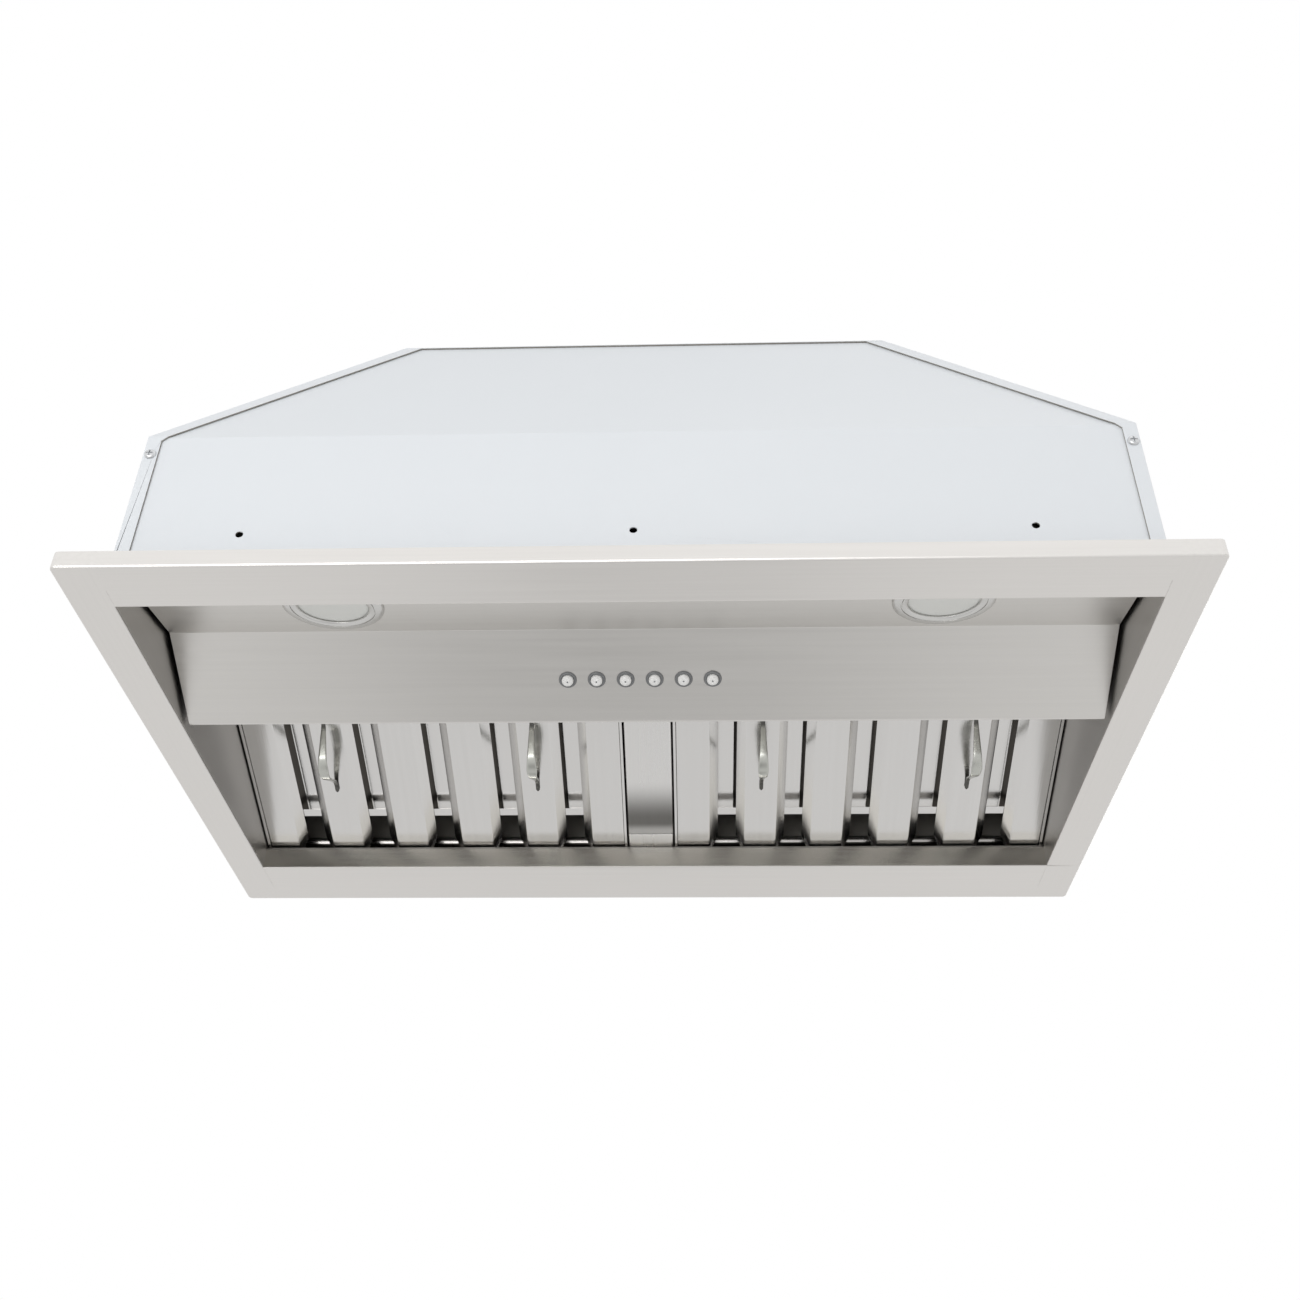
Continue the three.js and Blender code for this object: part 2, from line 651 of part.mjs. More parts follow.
// The visible side of a lamp faces down, so heights below zero are proud of the panel.
const lampBezel = turned([
  [lampApertureRadius, -0.9], [lampApertureRadius, -1.8], [lampApertureRadius + 1, -2.6],
  [lampRadius - 3, -2.6], [lampRadius - 0.8, -1.9], [lampRadius, -fit], [lampNeckRadius, -fit],
  [lampNeckRadius, lampNeckHeight], [lensRadius + fit, lampNeckHeight], [lensRadius + fit, -0.9],
], 28);
const lampLens = turned([
  [0, -1.4], [lensRadius * 0.5, -1.1], [lampApertureRadius - fit, -0.9 + fit], [lensRadius, -0.9 + fit],
  [lensRadius, 2], [0, 2],
], 24);
const canFoot = lampNeckHeight + fit;
const lampCan = turned([
  [lampNeckRadius - 2, canFoot], [lampNeckRadius, canFoot], [lampNeckRadius, canFoot + lampCanHeight - 4],
  [lampNeckRadius - 4, canFoot + lampCanHeight], [0, canFoot + lampCanHeight], [0, canFoot + lampCanHeight - 2],
  [lampNeckRadius - 5, canFoot + lampCanHeight - 2], [lampNeckRadius - 2, canFoot + lampCanHeight - 5],
], 24);
for (const [word, side] of sides) {
  const pieces = [['lamp_bezel', lampBezel, brushedSteel], ['lamp_lens', lampLens, lensGlass], ['lamp_can', lampCan, galvanised]];
  for (const [name, shape, material] of pieces) {
    const piece = addPiece(`${name}_${word}`, shape, material, lightFrame);
    piece.position.set(...lampPlace(side), 0);
  }
}

// ---------------------------------------------------------------- switch block and buttons

const buttonBore = buttonLength - buttonProud + 4; // depth of a button's bore below its bezel

function makeSwitchBlock() {
  const halfLong = buttonX(buttonCount - 1) + switchEnd;
  const back = sheet + fit;
  let switchBlock = block(-halfLong, halfLong, buttonDrop - switchHeight / 2, buttonDrop + switchHeight / 2, back, back + switchDepth);
  for (let i = 0; i < buttonCount; i++) {
    const collar = prismZ(circle(bezelRadius, 16, buttonX(i), buttonDrop), -bezelProud, back + 1);
    const bore = prismZ(circle(buttonRadius + fit, 12, buttonX(i), buttonDrop), -bezelProud - 1, buttonBore - bezelProud);
    switchBlock = switchBlock.add(collar).subtract(bore);
  }
  return switchBlock;
}

addPiece('switch_block', makeSwitchBlock(), greyPlastic, fasciaFrame);

const buttonFace = -bezelProud - buttonProud;
const buttonShape = turned([
  [0, buttonFace], [buttonRadius * 0.55, buttonFace + 0.25], [buttonRadius * 0.9, buttonFace + 1],
  [buttonRadius, buttonFace + 1.8], [buttonRadius, buttonFace + buttonLength], [0, buttonFace + buttonLength],
], 16);
for (let i = 0; i < buttonCount; i++) {
  const button = addPiece(`button_${i + 1}`, buttonShape, greyPlastic, fasciaFrame);
  button.position.set(buttonX(i), buttonDrop, 0);
}

// ---------------------------------------------------------------- blower

// Spiral outline of the housing, moved outwards by a margin, with the outlet open to a given height.
function scrollOutline(margin, top) {
  const points = [[blowerY - cutoffSetback + margin, top], [blowerY - scrollEnd - margin, top]];
  const steps = 24;
  const cutoffAngle = THREE.MathUtils.radToDeg(Math.acos(-(cutoffSetback - margin) / (scrollStart + margin)));
  for (let i = 0; i <= steps; i++) {
    const degrees = -180 + ((180 + cutoffAngle) * i) / steps;
    const radius = scrollEnd + margin - (scrollGrowth * i) / steps;
    const angle = THREE.MathUtils.degToRad(degrees);
    points.push([blowerY + radius * Math.cos(angle), blowerZ + radius * Math.sin(angle)]);
  }
  return points;
}

// Sheet housing with an inlet in each side plate and a flange round the outlet.
function makeBlowerHousing() {
  const outer = prismX(scrollOutline(sheet, underTop), -housingHalf - sheet, housingHalf + sheet);
  const air = prismX(scrollOutline(0, underTop + 1), -housingHalf, housingHalf);
  const inlets = prismX(circle(inletRadius, 32, blowerY, blowerZ), -far, far);
  const reach = outletFlange + sheet;
  const flange = block(-housingHalf - reach, housingHalf + reach, outletFront - reach, outletRear + reach,
    underTop - sheet, underTop);
  return outer.add(flange).subtract(air).subtract(inlets);
}

addPiece('blower_housing', makeBlowerHousing(), galvanised);

const blower = new THREE.Group();
blower.position.set(0, blowerY, blowerZ);
blower.rotation.y = Math.PI / 2;
insert.add(blower);

// Squirrel-cage wheel, drawn about Z: forward-curved blades between two rims, on a middle disc.
function makeWheel() {
  const half = wheelWidth / 2;
  const inner = wheelRadius - bladeDepth;
  const rim = (z) => turned([[inner, z], [wheelRadius, z], [wheelRadius, z + wheelRim], [inner, z + wheelRim]], 32);
  const disc = prismZ(circle(inner + bladeDepth / 2, 32), -1, 1);
  const hub = prismZ(circle(hubRadius, 20), -hubLength / 2, hubLength / 2);
  let wheel = rim(-half).add(rim(half - wheelRim)).add(disc).add(hub);
  const blade = (turn) => {
    const side = (offset) => [0, 1, 2].map((k) => {
      const radius = inner + bladeThickness / 2 + ((bladeDepth - bladeThickness) * k) / 2;
      const angle = turn + bladeSweep * (k / 2) ** 2 + offset / radius;
      return [radius * Math.cos(angle), radius * Math.sin(angle)];
    });
    return prismZ([...side(-bladeThickness / 2), ...side(bladeThickness / 2).reverse()], -half + 1, half - 1);
  };
  for (let i = 0; i < bladeCount; i++) wheel = wheel.add(blade((i / bladeCount) * 2 * Math.PI));
  return wheel.subtract(prismZ(circle(shaftRadius + fit, 20), -hubLength, hubLength));
}

addPiece('blower_wheel', makeWheel(), galvanised, blower);

const shaftEnd = motorSetback + 15;
addPiece('motor_shaft', prismZ(circle(shaftRadius, 20), -hubLength / 2 - 2, shaftEnd), zincScrew, blower);

function makeMotor() {
  const far = motorSetback + motorLength;
  const body = turned([
    [0, motorSetback], [motorRadius - 5, motorSetback], [motorRadius, motorSetback + 4], [motorRadius, far - 5],
    [motorRadius - 5, far], [hubRadius, far], [hubRadius, far + 5], [0, far + 5],
  ], 24);
  return body.subtract(prismZ(circle(shaftRadius + fit, 20), 0, shaftEnd + 1));
}

addPiece('motor', makeMotor(), darkMetal, blower);

// Three-armed bracket: an inner ring holds the motor, an outer ring lies round the inlet.
function makeMotorBracket() {
  const start = housingHalf + sheet + fit;
  const ring = (inner, outer) => turned([[inner, start], [outer, start], [outer, start + bracketSheet], [inner, start + bracketSheet]], 24);
  const holdRadius = motorRadius + fit;
  let bracket = ring(holdRadius, holdRadius + bracketRing).add(ring(inletRadius + 1, inletRadius + 1 + 2 * bracketRing));
  for (let i = 0; i < 3; i++) {
    const arm = extruded(rectangle(holdRadius + 1, -bracketArm / 2, inletRadius + bracketRing, bracketArm / 2), bracketSheet);
    bracket = bracket.add(solid(arm.translate(0, 0, start).rotateZ(((i + 0.5) * 2 * Math.PI) / 3)));
  }
  return bracket;
}

addPiece('motor_bracket', makeMotorBracket(), galvanised, blower);

// ---------------------------------------------------------------- duct collar and damper

// Ring of the transition: its points lie evenly by angle on a rectangle or on a circle.
const ductSides = 32;
function rectangleByAngle(halfX, halfY) {
  return circle(1, ductSides).map(([c, s]) => {
    const scale = Math.min(halfX / Math.max(Math.abs(c), 1e-6), halfY / Math.max(Math.abs(s), 1e-6));
    return [c * scale, s * scale];
  });
}

function makeDuctCollar() {
  const halfY = (outletRear - outletFront) / 2;
  const top = collarFoot + transitionHeight;
  const end = top + collarHeight;
  const round = (radius) => circle(radius, ductSides);
  const outside = loft([
    [rectangleByAngle(housingHalf + sheet, halfY + sheet), collarFoot],
    [round(collarRadius), top], [round(collarRadius), end - 9], [round(collarRadius + collarBead), end - 7],
    [round(collarRadius + collarBead), end - 5], [round(collarRadius), end - 3], [round(collarRadius), end],
  ]);
  const inside = loft([
    [rectangleByAngle(housingHalf, halfY), collarFoot - 1],
    [rectangleByAngle(housingHalf, halfY), collarFoot],
    [round(collarRadius - sheet), top], [round(collarRadius - sheet), end + 1],
  ]);
  const reach = collarBase + sheet;
  const base = block(-housingHalf - reach, housingHalf + reach, -halfY - reach, halfY + reach, collarFoot, collarFoot + sheet);
  const pinHole = prismX(circle(hingePinRadius + fit, 16, 0, pinZ), -far, far);
  let collar = outside.add(base).subtract(inside);
  const tabTop = pinZ - flapSheet / 2 - fit;
  for (const side of [-1, 1]) {
    const rim = side * (collarRadius - sheet / 2);
    const tip = side * (collarRadius - sheet - stopTab);
    collar = collar.add(block(-4, 4, Math.min(rim, tip), Math.max(rim, tip), tabTop - sheet, tabTop));
  }
  return collar.subtract(pinHole);
}

addPiece('duct_collar', makeDuctCollar(), galvanised);

const pinEnd = collarRadius + 1;
addPiece('damper_pin', prismX(circle(hingePinRadius, 16, 0, pinZ), -pinEnd, pinEnd), zincScrew);

// Half-round flap behind or in front of the pin; its two knuckles leave room for the other flap's.
function makeFlap(side) {
  const radius = collarRadius - sheet - flapGap;
  const near = knuckleRadius + fit;
  const disc = prismZ(circle(radius, ductSides), pinZ - flapSheet / 2, pinZ + flapSheet / 2);
  const half = side > 0 ? block(-far, far, near, far, 0, 2 * far) : block(-far, far, -far, -near, 0, 2 * far);
  let flap = disc.intersect(half);
  for (const place of [-1, 1]) {
    const start = place * 34 + (place * side > 0 ? fit : -knuckleLength - fit);
    const knuckle = prismX(circle(knuckleRadius, 16, 0, pinZ), start, start + knuckleLength);
    const [y0, y1] = side > 0 ? [0, near + 2] : [-near - 2, 0];
    const web = block(start, start + knuckleLength, y0, y1, pinZ - flapSheet / 2, pinZ + flapSheet / 2);
    flap = flap.add(knuckle).add(web);
  }
  return flap.subtract(prismX(circle(hingePinRadius + fit, 16, 0, pinZ), -far, far));
}

addPiece('damper_flap_front', makeFlap(-1), galvanised);
addPiece('damper_flap_rear', makeFlap(1), galvanised);

// ---------------------------------------------------------------- electrical pieces

// Open-topped box under the top plate, with a gland above it for the supply cable.
function makeJunctionBox() {
  const { width, depth, height, x, y } = junctionBox;
  const bottom = underTop - height;
  const outer = block(x - width / 2, x + width / 2, y - depth / 2, y + depth / 2, bottom, underTop);
  const inner = block(x - width / 2 + sheet, x + width / 2 - sheet, y - depth / 2 + sheet, y + depth / 2 - sheet,
    bottom + sheet, underTop + 1);
  return outer.subtract(inner);
}

addPiece('junction_box', makeJunctionBox(), galvanised);

const glandNeck = glandRadius * 0.7;
const gland = addPiece('cable_gland', turned([
  [glandBore, -6], [glandNeck, -6], [glandNeck, fit], [glandRadius, fit], [glandRadius, glandHeight * 0.45],
  [glandRadius * 0.85, glandHeight * 0.55], [glandRadius * 0.8, glandHeight], [glandBore, glandHeight],
], 16), blackPlastic);
gland.position.set(junctionBox.x, junctionBox.y, bodyHeight);

// Lamp driver on the back of the light panel.
const driverFoot = sheet + fit;
addPiece('lamp_driver', block(driverBox.x - driverBox.width / 2, driverBox.x + driverBox.width / 2,
  lampSetback - driverBox.depth / 2, lampSetback + driverBox.depth / 2, driverFoot, driverFoot + driverBox.height),
blackPlastic, lightFrame);

// Motor capacitor hung under the top plate.
const capacitor = addPiece('motor_capacitor', turned([
  [0, 0], [capacitorRadius, 0], [capacitorRadius, capacitorLength - 3], [capacitorRadius - 3, capacitorLength],
  [0, capacitorLength],
], 24), darkMetal);
capacitor.position.set(capacitorX, 0, underTop - capacitorLength);

export default insert;
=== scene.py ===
# Range hood insert: a coated sheet-metal body on a brushed stainless face frame, with a slanted
# light and control panel, two lift-out baffle filters, and a blower under a round duct collar.
# Metres, X to the right, Y to the back, Z up from the underside of the face frame.
import json
import math
import bmesh
import bpy
from mathutils import Matrix, Vector


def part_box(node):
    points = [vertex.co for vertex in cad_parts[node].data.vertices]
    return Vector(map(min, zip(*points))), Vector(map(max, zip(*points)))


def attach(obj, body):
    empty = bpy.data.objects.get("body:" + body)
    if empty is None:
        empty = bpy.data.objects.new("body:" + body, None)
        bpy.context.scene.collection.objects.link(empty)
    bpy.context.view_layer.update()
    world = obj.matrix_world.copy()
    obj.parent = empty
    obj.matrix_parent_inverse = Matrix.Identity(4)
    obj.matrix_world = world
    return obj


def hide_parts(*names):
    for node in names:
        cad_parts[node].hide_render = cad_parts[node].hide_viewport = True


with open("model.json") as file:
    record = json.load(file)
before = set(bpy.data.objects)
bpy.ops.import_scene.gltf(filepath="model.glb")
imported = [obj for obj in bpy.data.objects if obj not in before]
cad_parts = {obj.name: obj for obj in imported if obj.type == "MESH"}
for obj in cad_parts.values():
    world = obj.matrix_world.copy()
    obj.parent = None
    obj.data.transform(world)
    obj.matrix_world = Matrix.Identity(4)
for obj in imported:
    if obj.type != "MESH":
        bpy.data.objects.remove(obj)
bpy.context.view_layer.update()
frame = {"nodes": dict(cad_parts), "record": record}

# ---------------------------------------------------------------- camera
# It stands below and in front of the insert and looks up into the recess, as a cook would.
camera = bpy.data.objects.new("camera", bpy.data.cameras.new("camera"))
camera.data.lens = 38.43
camera.data.shift_x = 0.0036
camera.data.shift_y = 0.0233
camera.location = (0.0399, -0.8831, -0.5400)
camera.rotation_euler = [math.radians(angle) for angle in (124.747, -0.855, 1.985)]
bpy.context.scene.collection.objects.link(camera)
bpy.context.scene.camera = camera
bpy.context.scene.view_settings.view_transform = "Standard"


# ---------------------------------------------------------------- studio
# A pale floor well below the hanging insert, a soft even surround and three wide lamps.
class Link:
    """A socket in a node tree. Arithmetic on it adds Math nodes, and node() adds any other node."""

    def __init__(self, socket):
        self.socket = socket

    def output(self, name):
        return Link(self.socket.node.outputs[name])

    def node(self, kind, settings=None, inputs=None, output=0):
        made = self.socket.id_data.nodes.new("ShaderNode" + kind)
        for name, value in (settings or {}).items():
            setattr(made, name, value)
        feed(made, inputs or {})
        return Link(made.outputs[output])

    def math(self, operation, *values):
        return self.node("Math", {"operation": operation}, dict(enumerate(values)))

    def axes(self):
        """The X of a place, with its Y and Z as outputs beside it."""
        return self.node("SeparateXYZ", inputs={0: self})

    def dot(self, direction):
        return self.node("VectorMath", {"operation": "DOT_PRODUCT"}, {0: self, 1: direction}, output=1)

    def __add__(self, other):
        return self.math("ADD", self, other)

    def __radd__(self, other):
        return self.math("ADD", other, self)

    def __sub__(self, other):
        return self.math("SUBTRACT", self, other)

    def __rsub__(self, other):
        return self.math("SUBTRACT", other, self)

    def __mul__(self, other):
        return self.math("MULTIPLY", self, other)

    def __rmul__(self, other):
        return self.math("MULTIPLY", other, self)

    def __gt__(self, other):
        return self.math("GREATER_THAN", self, other)

    def __lt__(self, other):
        return self.math("LESS_THAN", self, other)


def feed(node, inputs):
    """Links or sets a node's sockets, given by name or by number."""
    for key, value in inputs.items():
        if isinstance(value, Link):
            node.id_data.links.new(value.socket, node.inputs[key])
        else:
            node.inputs[key].default_value = value


def smooth_step(value, start, end):
    """Nought before a start, one after an end, and smooth between them."""
    return value.node("MapRange", {"interpolation_type": "SMOOTHSTEP"}, {0: value, 1: start, 2: end})


def seen_rays(tree):
    """One where a camera, a mirror or a glass looks, and nought for the light on the object."""
    rays = Link(tree.nodes.new("ShaderNodeLightPath").outputs["Is Camera Ray"])
    glossy = rays.math("MAXIMUM", rays, rays.output("Is Glossy Ray"))
    return rays.math("MAXIMUM", glossy, rays.output("Is Transmission Ray"))


surround_light = 0.62
world = bpy.data.worlds.new("studio")
world.use_nodes = True
bpy.context.scene.world = world
world_tree = world.node_tree
seen = seen_rays(world_tree)
soft = seen.node("Background", inputs={"Color": (1.0, 0.99, 0.98, 1), "Strength": surround_light})
white = seen.node("Background", inputs={"Color": (1, 1, 1, 1), "Strength": 1.0})
surround = seen.node("MixShader", inputs={0: seen, 1: soft, 2: white})
world_tree.links.new(surround.socket, world_tree.nodes["World Output"].inputs["Surface"])

floor_level = -1.25
floor_half = 30.0
floor_glow = 0.6

# Two soft dark spots on the floor, in mirrors only, as painted shade for the reflections: one that the
# front rail's middle mirrors and one that the fascia's middle mirrors, equally far from a line across.
spot_middle = 0.6
spot_apart = 0.75
spot_side = -0.07
spot_squeeze = 1.15
spot_reach = 0.80
painted_shade_depth = 0.62
floor_mesh = bpy.data.meshes.new("floor")
floor_form = bmesh.new()
bmesh.ops.create_grid(floor_form, x_segments=1, y_segments=1, size=floor_half)
bmesh.ops.translate(floor_form, verts=floor_form.verts, vec=(0, 0, floor_level))
floor_form.to_mesh(floor_mesh)
floor_form.free()
floor = bpy.data.objects.new("floor", floor_mesh)
bpy.context.scene.collection.objects.link(floor)

floor_paint = bpy.data.materials.new("floor_paint")
floor_paint.use_nodes = True
floor_tree = floor_paint.node_tree
seen = seen_rays(floor_tree)
mirrored = Link(floor_tree.nodes.new("ShaderNodeLightPath").outputs["Is Glossy Ray"])
floor_place = Link(floor_tree.nodes.new("ShaderNodeTexCoord").outputs["Object"])
across = floor_place.axes()
aside = across - spot_side
from_middle = aside.math("ABSOLUTE", across.output("Y") - spot_middle)
beyond = (from_middle - spot_apart) * spot_squeeze
from_spot = aside.math("SQRT", aside * aside + beyond * beyond)
# Painted shade: the floor looks darker here in mirrors only.
painted_shade_spot = smooth_step(from_spot, spot_reach, 0.0)
matt = seen.node("BsdfDiffuse", inputs={"Color": (0.86, 0.86, 0.86, 1)})
glow = seen.node("Emission", inputs={"Color": (1, 1, 1, 1), "Strength": 1.0 - painted_shade_spot * mirrored * painted_shade_depth})
pale = seen.node("MixShader", inputs={0: seen * floor_glow, 1: matt, 2: glow})
floor_tree.links.new(pale.socket, floor_tree.nodes["Material Output"].inputs["Surface"])
floor_mesh.materials.append(floor_paint)


def lamp(name, place, aim, size, power):
    """A square soft lamp that faces a point."""
    light = bpy.data.lights.new(name, "AREA")
    light.shape = "SQUARE"
    light.size = size
    light.energy = power
    made = bpy.data.objects.new(name, light)
    made.location = place
    made.rotation_mode = "QUATERNION"
    made.rotation_quaternion = (Vector(aim) - Vector(place)).to_track_quat("-Z", "Y")
    bpy.context.scene.collection.objects.link(made)


middle = (0, 0, 0.12)
lamp("front_lamp", (-0.7, -2.4, -0.7), middle, 1.8, 31)
lamp("upper_lamp", (0.8, -0.6, 2.4), middle, 1.8, 3)
lamp("rear_lamp", (1.4, 2.2, 0.9), middle, 1.8, 10)


# ---------------------------------------------------------------- face frame
# Welded from stainless sheet and brushed after welding. The outer edge is turned up, and the
# front and rear walls of the recess are turned up from the rails.
def finish(slot, constants):
    """A new finish: the material, its shader, and the Object coordinates that its patterns read."""
    made = bpy.data.materials.new(slot + "_finish")
    made["slot"] = slot
    made.use_nodes = True
    shader = made.node_tree.nodes["Principled BSDF"]
    feed(shader, constants)
    place = Link(made.node_tree.nodes.new("ShaderNodeTexCoord").outputs["Object"])
    return made, shader, place


def noise(place, stretch, detail=2.0, turn=(0, 0, 0)):
    """Noise from nought to one, with the given number of features a metre along each turned axis."""
    size = [1 / value for value in stretch]
    mapped = place.node("Mapping", {"vector_type": "TEXTURE"},
                        {"Vector": place, "Rotation": turn, "Scale": size})
    return place.node("TexNoise", inputs={"Vector": mapped, "Scale": 1.0, "Detail": detail})


def tinted(amount, first, second):
    """The colour between two, by an amount from nought to one."""
    first, second = [end if isinstance(end, Link) else (*end, 1) for end in (first, second)]
    return amount.node("Mix", {"data_type": "RGBA"}, {0: amount, 6: first, 7: second}, output=2)


hair_fineness = 4
smear_stretch = (5, 5, 9)
streak_gloss = 0.16
smear_gloss = 0.12
brush_relief = 0.10
brush_depth = 0.0004


def brushed(slot, dark, light, grain, roughness, turn=(0, 0, 0), split=None, paint_mask=None, painted_light_or_shade=None,
            dulling=0.2):
    """Brushed sheet: streaks along the grain in colour, gloss and relief, and broad soft smears.
    Past the split, in X, the grain runs the other way. Where the paint mask is one, the colour is
    the painted light or shade colour, and the roughness changes by the dulling."""
    made, shader, place = finish(slot, {"Metallic": 1.0})

    def streaks(finer, detail):
        along = noise(place, [value * finer for value in grain], detail, turn)
        if not split:
            return along
        across = place.axes()
        past = across.math("ABSOLUTE", across) > split
        turned_grain = [value * finer for value in (grain[1], grain[0], grain[2])]
        return past.node("Mix", inputs={0: past, 2: along, 3: noise(place, turned_grain, detail)})

    streak = streaks(1, 3.0)
    hair = streaks(hair_fineness, 1.0)
    smear = noise(place, smear_stretch)
    colour = tinted(streak * 0.7 + smear * 0.3, dark, light)
    dulled = 0.0
    # Painted light or shade: a colour laid over the sheet where the mask is one.
    if paint_mask:
        amount = paint_mask(place)
        colour = tinted(amount, colour, painted_light_or_shade)
        dulled = amount * dulling
    feed(shader, {
        "Base Color": colour,
        "Roughness": roughness + (streak - 0.5) * streak_gloss + (smear - 0.5) * smear_gloss + dulled,
        "Normal": streak.node("Bump", inputs={
            "Height": streak * 0.6 + hair * 0.4, "Strength": brush_relief, "Distance": brush_depth}),
    })
    return made


def seated(name, form, material, body, *nodes, sharp=32):
    """Makes a piece of a bmesh: it rides on its body and stands for the nodes named."""
    mesh = bpy.data.meshes.new(name)
    form.to_mesh(mesh)
    form.free()
    mesh.shade_smooth()
    mesh.set_sharp_from_angle(angle=math.radians(sharp))
    mesh.materials.append(material)
    piece = bpy.data.objects.new(name, mesh)
    bpy.context.scene.collection.objects.link(piece)
    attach(piece, body)
    if nodes:
        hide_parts(*nodes)
    return piece


def rounded(piece, width, angle=32, segments=2):
    """Breaks the sharp edges of a piece, and keeps its flats flat to the eye."""
    bevel = piece.modifiers.new("edges", "BEVEL")
    bevel.width = width
    bevel.segments = segments
    bevel.limit_method = "ANGLE"
    bevel.angle_limit = math.radians(angle)
    bevel.miter_outer = "MITER_ARC"
    flats = piece.modifiers.new("flats", "WEIGHTED_NORMAL")
    flats.keep_sharp = True
    return piece


sheet = 0.0012
edge_break = 0.00025
frame_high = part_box("face_frame")[1]
liner_low, liner_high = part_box("side_liner_right")
half_opening = liner_low.x
opening_front = liner_low.y + sheet
opening_rear = liner_high.y - sheet
lip_height = 0.013
front_return = 0.020
rear_return = 0.0177
corner_radius = 0.004
lip_radius = 0.0019
joint_front = opening_front - 0.017
joint_rear = opening_rear + 0.038
joint_width = 0.0005
joint_depth = 0.00035
rear_wall_reach = 0.0022
fold_angle = math.radians(60)


def on_rear_wall(place):
    """One on the wall that is turned up from the rear rail, where light is painted."""
    axes = place.axes()
    near = axes.math("COMPARE", axes.output("Y"), opening_rear, rear_wall_reach)
    return near * (axes.output("Z") > sheet)


# The wall turned up from the rear rail gets a lighter colour than the rails: painted light.
frame_steel = brushed(
    "brushed_steel", (0.73, 0.71, 0.685), (0.82, 0.80, 0.775), (7, 420, 420), 0.36, split=half_opening,
    paint_mask=on_rear_wall, painted_light_or_shade=(0.97, 0.95, 0.90), dulling=-0.15)


def at(value, target, reach=1e-5):
    return abs(value - target) < reach


def middle_of(edge):
    return (edge.verts[0].co + edge.verts[1].co) / 2


def cut(form, point, normal, **clear):
    """Cuts every face of a form along a plane."""
    everything = form.verts[:] + form.edges[:] + form.faces[:]
    return bmesh.ops.bisect_plane(form, geom=everything, plane_co=point, plane_no=normal, **clear)


def turned_up(form, edges, height):
    """Turns a wall up from edges."""
    made = bmesh.ops.extrude_edge_only(form, edges=edges)["geom"]
    verts = [item for item in made if isinstance(item, bmesh.types.BMVert)]
    bmesh.ops.translate(form, verts=verts, vec=(0, 0, height))


def make_rails():
    """The flat of the frame, with its opening and with an edge where each weld runs."""
    form = bmesh.new()
    bmesh.ops.create_grid(form, x_segments=1, y_segments=1, size=1)
    bmesh.ops.scale(form, verts=form.verts, vec=(frame_high.x, frame_high.y, 1))
    bmesh.ops.bevel(form, geom=form.verts[:], offset=corner_radius, segments=8, profile=0.5,
                    affect="VERTICES", material=-1)
    for side in (-1, 1):
        cut(form, (side * half_opening, 0, 0), (1, 0, 0))
    for y in (joint_front, opening_front, opening_rear, joint_rear):
        cut(form, (0, y, 0), (0, 1, 0))
    hole = [face for face in form.faces if abs(face.calc_center_median().x) < half_opening
            and opening_front < face.calc_center_median().y < opening_rear]
    bmesh.ops.delete(form, geom=hole, context="FACES")
    return form


def make_face_frame():
    form = make_rails()
    boundary = [edge for edge in form.edges if edge.is_boundary]
    front = [edge for edge in boundary if at(middle_of(edge).y, opening_front)]
    rear = [edge for edge in boundary if at(middle_of(edge).y, opening_rear)]
    rim = [edge for edge in boundary if edge not in front and edge not in rear
           and not at(abs(middle_of(edge).x), half_opening)]
    joints = [edge for edge in form.edges if not edge.is_boundary
              and all(at(abs(vert.co.x), half_opening) for vert in edge.verts)
              and (joint_front < middle_of(edge).y < opening_front
                   or opening_rear < middle_of(edge).y < joint_rear)]
    turned_up(form, rim, lip_height)
    turned_up(form, front, front_return)
    turned_up(form, rear, rear_return)
    grooves = bmesh.ops.bevel(form, geom=joints, offset=joint_width / 2, segments=2, profile=0.5,
                              affect="EDGES", material=-1)
    for vert in grooves["verts"]:
        ends = at(vert.co.y, joint_front) or at(vert.co.y, joint_rear)
        if at(abs(vert.co.x), half_opening) and not ends:
            vert.co.z += joint_depth
    folds = [edge for edge in form.edges if len(edge.link_faces) == 2
             and edge.calc_face_angle() > fold_angle and at(edge.verts[0].co.z, 0)]
    bmesh.ops.bevel(form, geom=folds, offset=lip_radius, segments=6, profile=0.5,
                    affect="EDGES", material=-1)
    bmesh.ops.recalc_face_normals(form, faces=form.faces)
    bmesh.ops.solidify(form, geom=form.faces[:], thickness=sheet)
    return form


rounded(seated("stainless_frame", make_face_frame(), frame_steel, "hood_body", "face_frame"), edge_break)


# ---------------------------------------------------------------- body
# Folded from coated sheet: front and back panels, side panels that wrap round the corners, and a
# flat top plate. Pale cool grey with a fine orange-peel surface.
body_middle = (0, 0, 0.1)


def facing_inward(place):
    """One on the inner faces of the body's walls, where no light reaches."""
    normal = Link(place.socket.node.outputs["Normal"])
    outward = place.node("VectorMath", {"operation": "SUBTRACT"}, {0: place, 1: body_middle})
    return normal.dot(outward) < 0


cloud_stretch = (3, 3, 4)
smudge_stretch = (22, 22, 30)
smudge_gloss = 0.14
peel_depth = 0.0003


